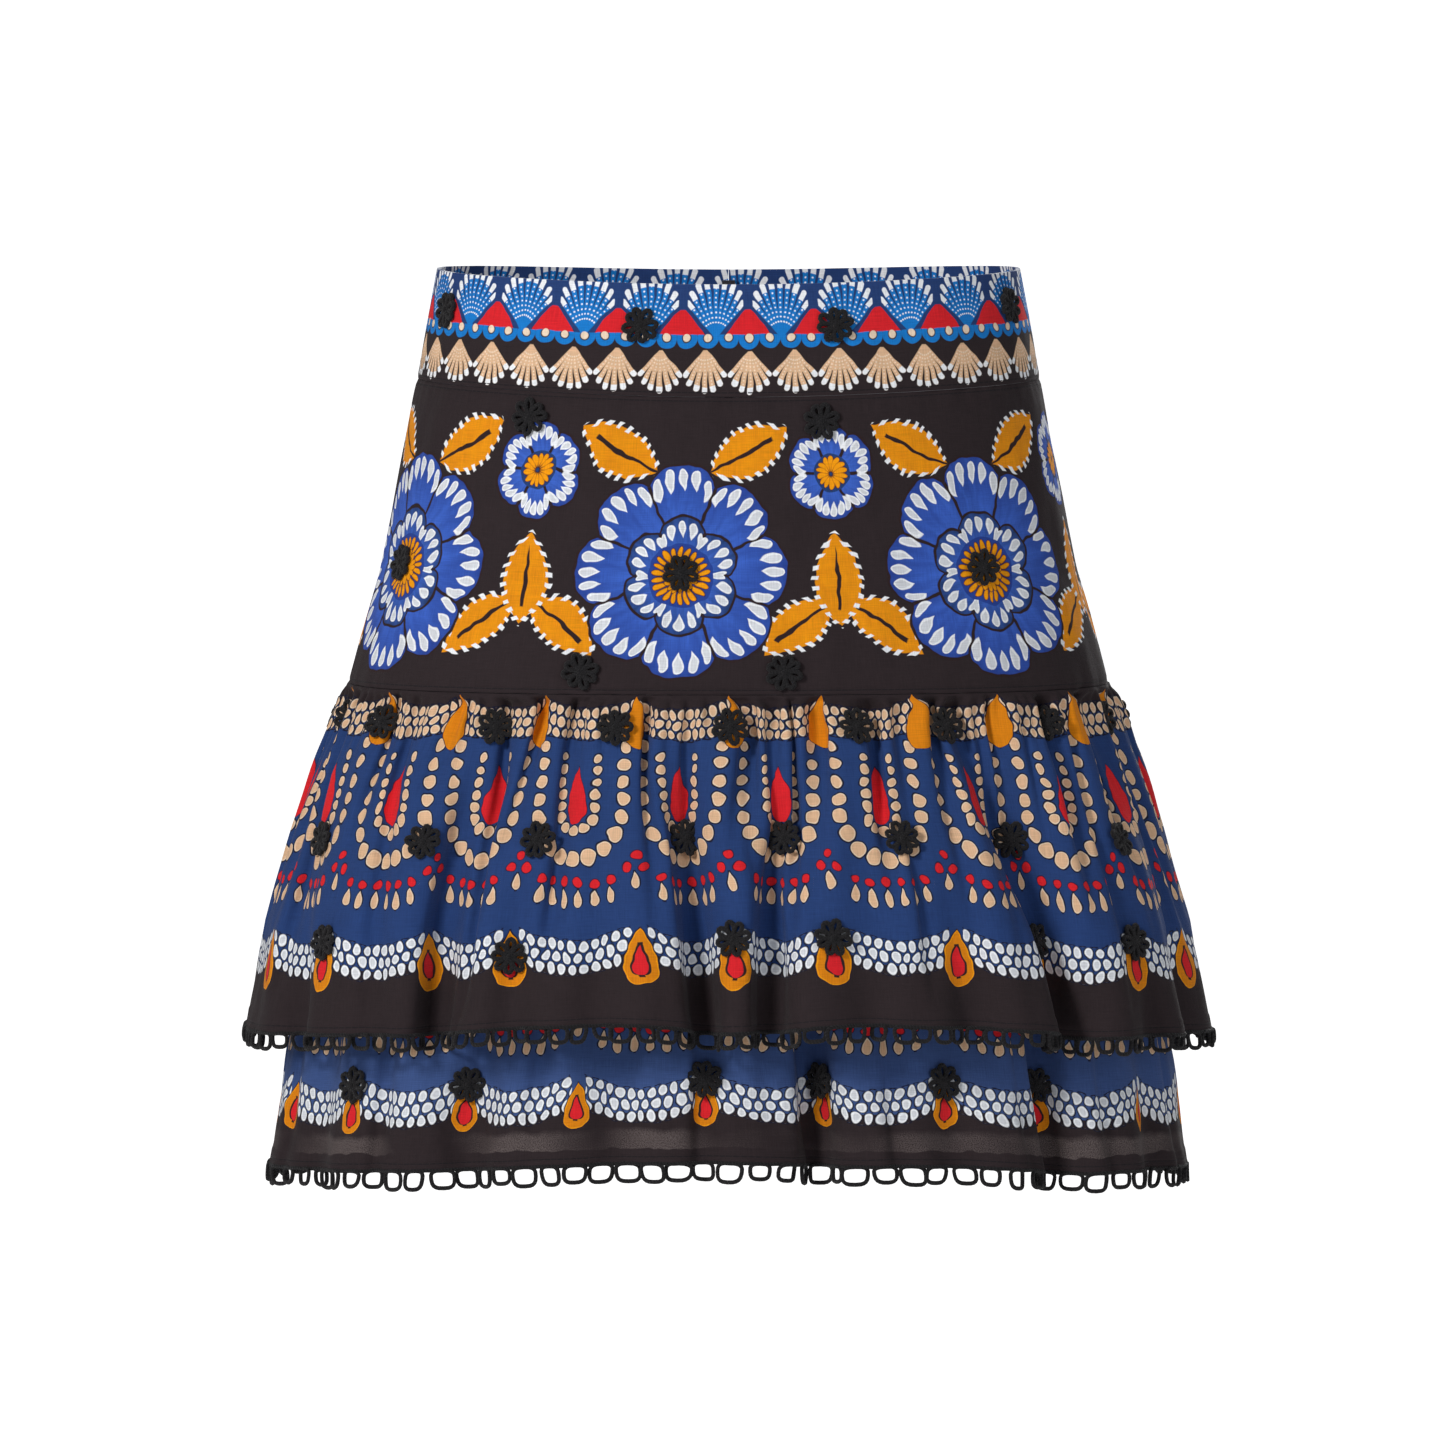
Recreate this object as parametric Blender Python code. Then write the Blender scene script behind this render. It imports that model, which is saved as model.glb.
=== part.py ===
# Mini skirt of printed cotton: a shaped waistband, a plain hip panel and two gathered tiers,
# each tier edged with a crocheted loop trim, and small crocheted flowers sewn all over.
# It keeps the hollow form that it has when it is worn. The origin is the middle of the waist
# opening, +Z is up, the front faces -Y and +X is the wearer's left. Everything is in metres.

import math

import bpy
import numpy as np
from mathutils import Vector
from mathutils.geometry import delaunay_2d_cdt

# The seams, from the waist down
waist_height = 0.000
yoke_seam_height = -0.050
hip_seam_height = -0.190
upper_hem_height = -0.3495
lower_hem_height = -0.4125
seam_gap = 0.0003

# Cloth and trim
band_wall = 0.0020
cloth_wall = 0.0014
trim_wall = 0.0020
loop_pitch = 0.013
loop_drop = 0.0112
upper_loops_a_side = 54
lower_loops_a_side = 46

# Gathers where the tiers are sewn on
gather_depth = 0.0022
gather_length = 0.030

# Rows and columns of the smooth pieces: shares of the way down, and columns round half of the body
band_rows = (0.0, 0.25, 0.5, 1.0)
hip_rows = (0.0, 0.34, 0.67, 1.0)
body_columns = 26

# Lengths of cloth round half of the body, side seam to side seam
waist_run = 0.375
hip_run = 0.450

# Squareness of the rounded figure seen from above: 2 is an ellipse
squareness = 2.45

# height, half width, front depth and back depth of the rings that the cloth hangs on
body_rings = (
    (0.000, 0.1340, 0.0880, 0.0920),
    (-0.024, 0.1385, 0.0915, 0.0970),
    (-0.050, 0.1430, 0.0950, 0.1020),
    (-0.095, 0.1515, 0.1010, 0.1110),
    (-0.140, 0.1605, 0.1070, 0.1190),
    (-0.190, 0.1750, 0.1140, 0.1260),
)
upper_rings = (
    (-0.190, 0.1750, 0.1140, 0.1260),
    (-0.205, 0.1805, 0.1185, 0.1305),
    (-0.245, 0.1950, 0.1300, 0.1420),
    (-0.300, 0.2120, 0.1465, 0.1575),
    (-0.350, 0.2215, 0.1565, 0.1675),
)
lower_rings = (
    (-0.190, 0.1711, 0.1101, 0.1221),
    (-0.215, 0.1755, 0.1125, 0.1245),
    (-0.300, 0.1935, 0.1210, 0.1330),
    (-0.364, 0.2038, 0.1245, 0.1375),
    (-0.413, 0.2110, 0.1350, 0.1475),
)

# place along the panel (0 to 1), half width of the fold, turn of the cloth in degrees,
# sideways run from seam to hem, where it starts (0 at the seam, 1 at the hem), drop of the hem
upper_front_folds = (
    (0.110, 0.011, 36, 0.006, 0.25, 0.000),
    (0.190, 0.009, 26, -0.010, 0.10, 0.000),
    (0.252, 0.015, 60, -0.022, 0.00, 0.002),
    (0.325, 0.009, 34, -0.010, 0.00, 0.000),
    (0.385, 0.008, 26, -0.004, 0.00, 0.000),
    (0.468, 0.012, 70, 0.000, 0.05, 0.006),
    (0.535, 0.012, 66, -0.014, 0.10, 0.005),
    (0.610, 0.009, 30, -0.004, 0.00, 0.000),
    (0.680, 0.010, 36, 0.004, 0.00, 0.000),
    (0.782, 0.015, 70, 0.022, 0.05, 0.003),
    (0.860, 0.009, 30, 0.012, 0.10, 0.000),
    (0.920, 0.010, 36, 0.010, 0.20, 0.000),
)
upper_back_folds = (
    (0.110, 0.012, 34, -0.010, 0.20, 0.000),
    (0.215, 0.015, 64, -0.018, 0.05, 0.003),
    (0.330, 0.010, 34, -0.006, 0.00, 0.000),
    (0.420, 0.015, 68, 0.006, 0.10, 0.005),
    (0.530, 0.012, 48, 0.004, 0.25, 0.002),
    (0.640, 0.015, 66, 0.012, 0.05, 0.004),
    (0.735, 0.010, 34, 0.010, 0.00, 0.000),
    (0.860, 0.014, 56, 0.020, 0.15, 0.002),
)
lower_front_folds = (
    (0.110, 0.012, 30, -0.006, 0.30, 0.000),
    (0.275, 0.012, 46, 0.004, 0.10, 0.001),
    (0.400, 0.010, 26, 0.000, 0.30, 0.000),
    (0.570, 0.013, 50, 0.002, 0.10, 0.002),
    (0.690, 0.010, 28, 0.004, 0.30, 0.000),
    (0.790, 0.013, 48, 0.010, 0.10, 0.002),
    (0.900, 0.011, 28, 0.006, 0.30, 0.000),
)
lower_back_folds = (
    (0.120, 0.012, 30, -0.006, 0.30, 0.000),
    (0.240, 0.013, 46, -0.006, 0.10, 0.001),
    (0.390, 0.012, 40, 0.000, 0.20, 0.001),
    (0.520, 0.013, 48, 0.003, 0.10, 0.002),
    (0.660, 0.011, 32, 0.004, 0.30, 0.000),
    (0.780, 0.013, 46, 0.008, 0.10, 0.001),
    (0.890, 0.011, 28, 0.006, 0.30, 0.000),
)

# Sewn crochet flowers
flower_petals = 6
flower_tip_radius = 0.0074
flower_notch_radius = 0.0058
flower_top_radius = 0.0050
flower_rise = 0.0022

# Where they are: how far down the piece (0 at its top, 1 at its hem), and the places along it (0 to 1)
waist_flowers = (
    (0.34, (0.115,)),
    (0.38, (0.392, 0.630)),
    (0.30, (0.885,)),
)
hip_flowers = (
    (0.085, (0.268, 0.606)),
    (0.590, (0.115, 0.450, 0.775)),
    (0.925, (0.355, 0.554)),
)
upper_flowers = (
    (0.100, (0.035, 0.145, 0.270, 0.395, 0.495, 0.616, 0.710, 0.820, 0.935)),
    (0.440, (0.110, 0.225, 0.335, 0.460, 0.550, 0.645, 0.760, 0.865)),
    (0.735, (0.147, 0.500, 0.588, 0.765, 0.853)),
    (0.790, (0.323,)),
)
lower_flowers = ((0.827, (0.162, 0.266, 0.473, 0.577, 0.681, 0.784)),)

# How far the middle of the front and back is above or below the sides: front, back
waist_bow = (-0.004, -0.004)
yoke_bow = (-0.005, -0.005)
upper_hem_bow = (0.010, 0.004)
lower_hem_bow = (0.009, 0.003)

# Zip in the centre back
zip_length = 0.160
zip_tape_width = 0.022
zip_tape_thickness = 0.0008
coil_width = 0.0024
coil_rise = 0.0014
slit_width = 0.0018
slider_top = -0.009
slider_size = (0.0060, 0.0022, 0.0080)
neck_width = 0.0008
neck_rise = 0.0011
pin_radius = 0.0005
pin_clearance = 0.0003
pull_head_radius = 0.0013
pull_size = (0.0052, 0.0010, 0.0190)
pull_off_cloth = 0.0016

# Colours of the cloth and trim, as red, green and blue
black_brown = (0.030, 0.024, 0.026)
deep_blue = (0.030, 0.065, 0.200)
band_blue = (0.050, 0.130, 0.350)
crochet_black = (0.012, 0.012, 0.014)
zip_black = (0.020, 0.020, 0.022)
pull_metal = (0.060, 0.060, 0.065)

dense_steps = 900


def ring_at(rings, height):
    """Half width, front depth and back depth of the ring at this height, read between the rings given."""
    table = np.array(rings)[::-1]
    return [np.interp(height, table[:, 0], table[:, column]) for column in (1, 2, 3)]


def half_ring(half_width, depth, facing):
    """Points round the front (facing -1) or back (+1) half of the rounded oblong, side to side."""
    turn = np.linspace(math.pi, 0, dense_steps) if facing < 0 else np.linspace(0, math.pi, dense_steps)
    power = 2 / squareness
    across = half_width * np.sign(np.cos(turn)) * np.abs(np.cos(turn)) ** power
    away = facing * depth * np.abs(np.sin(turn)) ** power
    return np.stack([across, away], axis=1)


def along(points):
    """Distance along a line of points, from 0 at its start to 1 at its end, and the whole length."""
    run = np.concatenate([[0], np.cumsum(np.linalg.norm(np.diff(points, axis=0), axis=1))])
    return run / run[-1], run[-1]


def bump(x):
    return np.exp(-0.5 * x * x)


def without(normals, axis):
    """The same directions without their part along one axis, so that a wall ends squarely at a seam or hem."""
    flat = normals.copy()
    flat[:, axis] = 0.0
    return flat / np.linalg.norm(flat, axis=1)[:, None]


class Panel:
    """Half of a tube of cloth, from side seam to side seam. A fold is a stretch where the cloth turns in and
    out again: its heading is the sum of the folds' turns, and its path is the running sum of that heading."""

    def __init__(self, facing, rings, top, hem, cloth_width, wall, folds=(), gathers=0,
                 top_bow=0.0, hem_bow=0.0, share=(0.0, 1.0), slit=0.0):
        self.facing = facing
        self.rings = rings
        self.top = top
        self.hem = hem
        self.cloth_width = cloth_width
        self.wall = wall
        self.folds = folds
        self.gathers = gathers
        self.top_bow = top_bow
        self.hem_bow = hem_bow
        self.share = share
        self.piece_width = cloth_width * (share[1] - share[0])
        self.slit = slit

    def line(self, down):
        """The cloth's line at this share of the way down: places along it, its points and its outward normals."""
        place = np.linspace(0, 1, dense_steps)
        heading = np.zeros(dense_steps)
        drop = np.zeros(dense_steps)
        for centre, half_width, turn, run, start, hem_drop in self.folds:
            off = (place - centre) * self.cloth_width - run * (down - 1)
            strength = max(0.0, (down - start) / (1 - start)) ** 0.8
            x = off / half_width
            heading += math.radians(turn) * strength * x * np.exp(0.5 - 0.5 * x * x)
            drop += hem_drop * bump(x / 1.6) * down ** 3
        step = self.cloth_width / (dense_steps - 1)
        forward = np.cumsum(np.cos(heading)) * step
        forward -= forward[0]
        inward = np.cumsum(np.sin(heading)) * step
        inward -= inward[0]
        inward -= inward[-1] * place
        height = self.top + (self.hem - self.top) * down
        half_width, front, back = ring_at(self.rings, height)
        ring = half_ring(half_width, front if self.facing < 0 else back, self.facing)
        share, length = along(ring)
        at = forward / forward[-1]
        scale = length / forward[-1]
        base = np.stack([np.interp(at, share, ring[:, k]) for k in (0, 1)], axis=1)
        tangent = np.gradient(base, axis=0)
        tangent /= np.linalg.norm(tangent, axis=1)[:, None]
        out = np.stack([tangent[:, 1], -tangent[:, 0]], axis=1)
        offset = inward * scale
        if self.gathers:
            distance = down * abs(self.hem - self.top)
            fade = max(0.0, 1 - distance / gather_length)
            wave = np.abs((place * self.gathers) % 1 - 0.5) * 2 - 1
            offset = offset + gather_depth * fade * wave
        flat = base + out * offset[:, None]
        bow = np.sin(math.pi * place) ** 2
        level = height + bow * (self.top_bow * (1 - down) + self.hem_bow * down) - drop
        return place, np.column_stack([flat, level])

    def row(self, down, places):
        """Outer points and normals of the cloth at the given places along one row."""
        spread = 0.002
        place, here = self.line(down)
        above = self.line(max(down - spread, 0))[1]
        below = self.line(min(down + spread, 1))[1]
        step = 0.5 / max(len(places) - 1, 1)

        def read(points, where):
            return np.stack([np.interp(where, place, points[:, k]) for k in range(3)], axis=1)

        across = read(here, np.clip(places + step, 0, 1)) - read(here, np.clip(places - step, 0, 1))
        upward = read(above, places) - read(below, places)
        normal = np.cross(across, upward)
        normal /= np.linalg.norm(normal, axis=1)[:, None]
        return read(here, places), normal

    def ends(self, down):
        """Where a row starts and stops along the half ring, leaving the seam gap, and above the zip its slit."""
        low, high = self.share
        gap = seam_gap / 2 / self.cloth_width
        opened = gap + min(1.0, max(0.0, 2 - 4 * down)) * self.slit / 2 / self.cloth_width
        return low + (opened if low > 0 else gap), high - (opened if high < 1 else gap)


class Rows:
    """A panel's rows of points, as straight lines between neighbours, so that anything sewn on it sits on it."""

    def __init__(self, panel, layout):
        self.panel = panel
        self.down = np.array([down for down, count in layout])
        self.places, self.points, self.normals = [], [], []
        for down, count in layout:
            low, high = panel.ends(down)
            fraction = np.linspace(0, 1, count + 1)
            places = low + (high - low) * fraction
            points, normals = panel.row(down, places)
            for end, share in ((0, panel.share[0]), (-1, panel.share[1])):
                normals[end] = without(normals[[end]], 1 if share in (0.0, 1.0) else 0)[0]
            if down in (0.0, 1.0):
                normals = without(normals, 2)
            self.places.append(fraction)
            self.points.append(points)
            self.normals.append(normals)

    def at(self, fraction, down, rise=0.0):
        """Points at these fractions along and down the panel, raised off its outer face."""
        fraction, down = np.atleast_1d(fraction), np.atleast_1d(down)
        row = np.clip(np.searchsorted(self.down, down, side="right") - 1, 0, len(self.down) - 2)
        share = (down - self.down[row]) / (self.down[row + 1] - self.down[row])
        found = np.zeros((len(fraction), 6))
        for k in range(len(fraction)):
            for r, weight in ((row[k], 1 - share[k]), (row[k] + 1, share[k])):
                both = np.hstack([self.points[r], self.normals[r]])
                found[k] += weight * np.array(
                    [np.interp(fraction[k], self.places[r], both[:, c]) for c in range(6)])
        normal = found[:, 3:] / np.linalg.norm(found[:, 3:], axis=1)[:, None]
        return found[:, :3] + normal * np.atleast_1d(rise)[:, None]


def triangulated(flat, rings):
    """Triangles that join flat points inside the first ring, keeping each ring's edges. They come back
    with the index of each given point."""
    edges = [(ring[k], ring[(k + 1) % len(ring)]) for ring in rings for k in range(len(ring))]
    found = delaunay_2d_cdt([Vector(p) for p in flat], edges, [tuple(rings[0])], 1, 1e-9)
    origins = found[3]
    return [tuple(origins[k][0] for k in face) for face in found[2]]


def turned_out(points, faces, normals):
    """The faces, each turned so that it looks the way its points' normals do."""
    kept = []
    for face in faces:
        a, b, c = (points[k] for k in face)
        outward = sum(normals[k] for k in face)
        kept.append(face if np.dot(np.cross(b - a, c - a), outward) > 0 else face[::-1])
    return kept


def flower_rings(rows, centre, height):
    """Outline of one flower on the panel: its base ring and its raised top ring, as (fraction, down, rise)."""
    fraction, down = centre
    width = rows.panel.piece_width
    ring = []
    for k in range(2 * flower_petals):
        angle = math.pi * k / flower_petals
        radius = flower_tip_radius if k % 2 == 0 else flower_notch_radius
        ring.append((fraction + radius * math.cos(angle) / width,
                     down + radius * math.sin(angle) / height, 0.0))
    top = []
    for k in range(flower_petals):
        angle = 2 * math.pi * k / flower_petals
        top.append((fraction + flower_top_radius * math.cos(angle) / width,
                    down + flower_top_radius * math.sin(angle) / height, flower_rise))
    return ring, top


def make_material(name, colour, roughness, metallic=0.0):
    material = bpy.data.materials.new(name)
    material.use_nodes = True
    shader = material.node_tree.nodes["Principled BSDF"]
    shader.inputs["Base Color"].default_value = (*colour, 1.0)
    shader.inputs["Roughness"].default_value = roughness
    shader.inputs["Metallic"].default_value = metallic
    return material


def make_solid(name, points, faces, material, collection):
    mesh = bpy.data.meshes.new(name)
    mesh.from_pydata([tuple(p) for p in points], [], [tuple(f) for f in faces])
    mesh.validate()
    mesh.update()
    solid = bpy.data.objects.new(name, mesh)
    mesh.materials.append(material)
    collection.objects.link(solid)
    return solid


def cloth_solid(name, panel, layout, flowers, material, collection):
    """A wall of cloth: its outer face carries the raised flowers, its inner face is plain, and a rim joins them."""
    rows = Rows(panel, layout)
    height = abs(panel.hem - panel.top)
    keep_clear = 1.15 * flower_tip_radius
    # The flat plan is stretched so that its cells are about as tall as wide, which keeps triangles off the folds
    cell_width = panel.piece_width / max(count for down, count in layout)
    stretch = cell_width / (height / (len(layout) - 1))

    def near_flower(fraction, down):
        return any(math.hypot((fraction - f) * panel.piece_width, (down - d) * height) < keep_clear
                   for f, d in flowers)

    def plan(fraction, down):
        return (fraction * panel.piece_width, down * height * stretch)

    outer, outer_normals, outer_plan = [], [], []
    inner, inner_plan, inner_of = [], [], {}
    last = len(rows.down) - 1
    outer_of = {}
    for r, down in enumerate(rows.down):
        count = len(rows.places[r]) - 1
        for c, fraction in enumerate(rows.places[r]):
            edge = r in (0, last) or c in (0, count)
            inner_of[r, c] = len(inner)
            inner.append(rows.points[r][c] - rows.normals[r][c] * panel.wall)
            inner_plan.append(plan(fraction, down))
            if edge or not near_flower(fraction, down):
                outer_of[r, c] = len(outer)
                outer.append(rows.points[r][c])
                outer_normals.append(rows.normals[r][c])
                outer_plan.append(plan(fraction, down))

    def border(index):
        top = [index[0, c] for c in range(len(rows.places[0]))]
        right = [index[r, len(rows.places[r]) - 1] for r in range(1, last)]
        bottom = [index[last, c] for c in range(len(rows.places[last]))][::-1]
        left = [index[r, 0] for r in range(last - 1, 0, -1)]
        return top + right + bottom + left

    outer_rim, inner_rim = border(outer_of), border(inner_of)
    rings = [outer_rim]
    for centre in flowers:
        for ring in flower_rings(rows, centre, height):
            table = np.array(ring)
            points = rows.at(table[:, 0], table[:, 1], table[:, 2])
            base = rows.at(table[:, 0], table[:, 1], table[:, 2] - 0.001)
            first = len(outer)
            outer.extend(points)
            outer_normals.extend(points - base)
            outer_plan.extend(plan(f, d) for f, d, rise in ring)
            rings.append(list(range(first, len(outer))))
    front = turned_out(outer, triangulated(outer_plan, rings), outer_normals)
    inner_normals = [n for normals in rows.normals for n in -normals]
    back = turned_out(inner, triangulated(inner_plan, [inner_rim]), inner_normals)
    shift = len(outer)
    faces = front + [tuple(k + shift for k in face) for face in back]
    faces += rim_faces(outer_rim, [k + shift for k in inner_rim], faces)
    make_solid(name, outer + inner, faces, material, collection)
    return rows


def rim_faces(outer_rim, inner_rim, faces):
    """Strip that closes the wall between its outer and inner rims, wound to match the outer face."""
    used = {(face[k], face[(k + 1) % 3]) for face in faces for k in range(3)}
    strip = []
    for k in range(len(outer_rim)):
        a, b = outer_rim[k], outer_rim[(k + 1) % len(outer_rim)]
        c, d = inner_rim[k], inner_rim[(k + 1) % len(inner_rim)]
        if (a, b) in used:
            a, b, c, d = b, a, d, c
        strip += [(a, b, d), (a, d, c)]
    return strip


# One loop of the trim, as (share of its pitch, share of its drop)
loop_top = ((0.0, 0.0), (0.5, 0.0))
loop_bottom = ((0.0, 0.74), (0.5, 1.0))
loop_hole = ((0.17, 0.15), (0.83, 0.15), (0.68, 0.74), (0.32, 0.74))


def trim_solid(name, rows, loops, material, collection):
    """The loop trim under one tier: a wall as wide as its cord, that carries on the cloth's own hem line,
    with the inside of each loop cut through."""
    panel = rows.panel
    hem = rows.points[-1]
    out = rows.normals[-1]
    fraction = rows.places[-1]
    middle = (trim_wall - panel.wall) / 2
    plan, front, normals = [], [], []

    def add(place, drop):
        share = place / loops
        point = np.array([np.interp(share, fraction, hem[:, k]) for k in range(3)])
        normal = np.array([np.interp(share, fraction, out[:, k]) for k in range(3)])
        normal /= np.linalg.norm(normal)
        point = point + normal * middle
        point[2] -= seam_gap + drop * loop_drop
        plan.append((place * loop_pitch, drop * loop_drop))
        front.append(point)
        normals.append(normal)
        return len(front) - 1

    top, bottom, holes = [], [], []
    for k in range(loops):
        top += [add(k + p, d) for p, d in loop_top]
        bottom += [add(k + p, d) for p, d in loop_bottom]
        holes.append([add(k + p, d) for p, d in loop_hole])
    top.append(add(loops, 0.0))
    bottom.append(add(loops, loop_bottom[0][1]))
    outline = top + bottom[::-1]
    faces = triangulated(plan, [outline] + holes)
    inside = {frozenset(hole) for hole in holes}
    faces = [f for f in faces if not any(set(f) <= hole for hole in inside)]
    faces = turned_out(front, faces, normals)
    back = [p - n * trim_wall for p, n in zip(front, normals)]
    shift = len(front)
    whole = faces + [tuple(k + shift for k in reversed(face)) for face in faces]
    for ring in [outline] + holes:
        whole += rim_faces(ring, [k + shift for k in ring], faces)
    return make_solid(name, front + back, whole, material, collection)


def block(name, corners_low, corners_high, material, collection):
    """A box between two corners, from Blender's cube."""
    bpy.ops.mesh.primitive_cube_add(size=1.0)
    box = bpy.context.active_object
    box.name = name
    low, high = Vector(corners_low), Vector(corners_high)
    box.scale = high - low
    box.location = (low + high) / 2
    bpy.ops.object.transform_apply(location=True, rotation=True, scale=True)
    box.data.materials.append(material)
    for home in box.users_collection:
        home.objects.unlink(box)
    collection.objects.link(box)
    return box


def joined(target, other, operation="UNION"):
    """Applies a Boolean of the other object to the target, and removes the other."""
    cut = target.modifiers.new("join", "BOOLEAN")
    cut.operation = operation
    cut.object = other
    bpy.context.view_layer.objects.active = target
    bpy.ops.object.modifier_apply(modifier=cut.name)
    bpy.data.objects.remove(other)
    return target


def round_bar(name, centre, radius, length, material, collection, sides=12):
    """A short round bar along X."""
    bpy.ops.mesh.primitive_cylinder_add(vertices=sides, radius=radius, depth=length, location=centre,
                                        rotation=(0, math.pi / 2, 0))
    bar = bpy.context.active_object
    bar.name = name
    bpy.ops.object.transform_apply(location=True, rotation=True, scale=True)
    bar.data.materials.append(material)
    for home in bar.users_collection:
        home.objects.unlink(bar)
    collection.objects.link(bar)
    return bar


def middle_back(panels):
    """Heights and depths of the cloth's outer face down the middle of the back."""
    points = [panel.line(down)[1][dense_steps // 2] for panel in panels for down in np.linspace(0, 1, 5)]
    return np.array(points)[::-1, 2], np.array(points)[::-1, 1]


def zip_tape(heights, depths, top, collection):
    """Both halves of the closed tape with the coil between them, as one band that follows the cloth inside."""
    half = zip_tape_width / 2
    coil = coil_width / 2
    inner = zip_tape_thickness + coil_rise
    section = ((-half, 0.0), (half, 0.0), (half, zip_tape_thickness), (coil, zip_tape_thickness),
               (coil, inner), (-coil, inner), (-coil, zip_tape_thickness), (-half, zip_tape_thickness))
    inset = band_wall * 1.05 + seam_gap
    points, faces = [], []
    for height in np.linspace(top, top - zip_length, 9):
        for across, inward in section:
            points.append((across, np.interp(height, heights, depths) - inset - inward, height))
    count = len(section)
    last = len(points) - count
    for first in range(0, last, count):
        for k in range(count):
            a, b = first + k, first + (k + 1) % count
            faces.append((a, b, b + count, a + count))
    faces.append(tuple(range(count))[::-1])
    faces.append(tuple(range(last, last + count)))
    faces_out(make_solid("zip_tape", points, faces, make_material("zip tape", zip_black, 0.8), collection))


def zip_slider_and_pull(heights, depths, collection):
    """The slider inside, its neck out through the slit with a pin across it, and the pull that swings on it."""
    metal = make_material("zip metal", pull_metal, 0.35, 0.9)
    width, thickness, tall = slider_size
    middle = slider_top - tall / 2
    cloth = np.interp(middle, heights, depths)
    inside = np.interp(slider_top, heights, depths) - band_wall * 1.05 - seam_gap
    pin_y = cloth + pull_off_cloth
    slider = block("zip_slider", (-width / 2, inside - thickness, slider_top - tall),
                   (width / 2, inside, slider_top), metal, collection)
    neck = block("neck", (-neck_width / 2, inside - thickness / 2, middle - neck_rise),
                 (neck_width / 2, pin_y + pin_radius / 2, middle + neck_rise), metal, collection)
    joined(slider, neck)
    pull_width, pull_thickness, length = pull_size
    joined(slider, round_bar("pin", (0, pin_y, middle), pin_radius, pull_width - 0.0006, metal, collection))
    pull = block("zip_pull", (-pull_width / 2, -pull_thickness / 2, -length),
                 (pull_width / 2, pull_thickness / 2, 0), metal, collection)
    joined(pull, round_bar("head", (0, 0, 0), pull_head_radius, pull_width, metal, collection))
    slot = neck_width / 2 + pin_clearance
    reach = 2.3 * pull_head_radius
    joined(pull, block("slot", (-slot, -reach, -reach), (slot, reach, reach), metal, collection), "DIFFERENCE")
    joined(pull, round_bar("hole", (0, 0, 0), pin_radius + pin_clearance, 2 * pull_width, metal, collection),
           "DIFFERENCE")
    slope = cloth - np.interp(middle - length, heights, depths)
    pull.location = (0, pin_y, middle)
    pull.rotation_euler = (math.atan2(-slope, length), 0, 0)
    return slider_top - tall - seam_gap


def faces_out(solid):
    """Turns a closed solid's faces outwards."""
    bpy.ops.object.select_all(action="DESELECT")
    bpy.context.view_layer.objects.active = solid
    solid.select_set(True)
    bpy.ops.object.mode_set(mode="EDIT")
    bpy.ops.mesh.select_all(action="SELECT")
    bpy.ops.mesh.normals_make_consistent(inside=False)
    bpy.ops.object.mode_set(mode="OBJECT")


def flower_places(rows, facing, share=(0.0, 1.0)):
    """The places of a piece's flowers, turned end for end on the back, and counted along the piece's own share."""
    low, high = share
    places = [(1 - place if facing > 0 else place, down) for down, row in rows for place in row]
    return [((place - low) / (high - low), down) for place, down in places if low < place < high]


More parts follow.
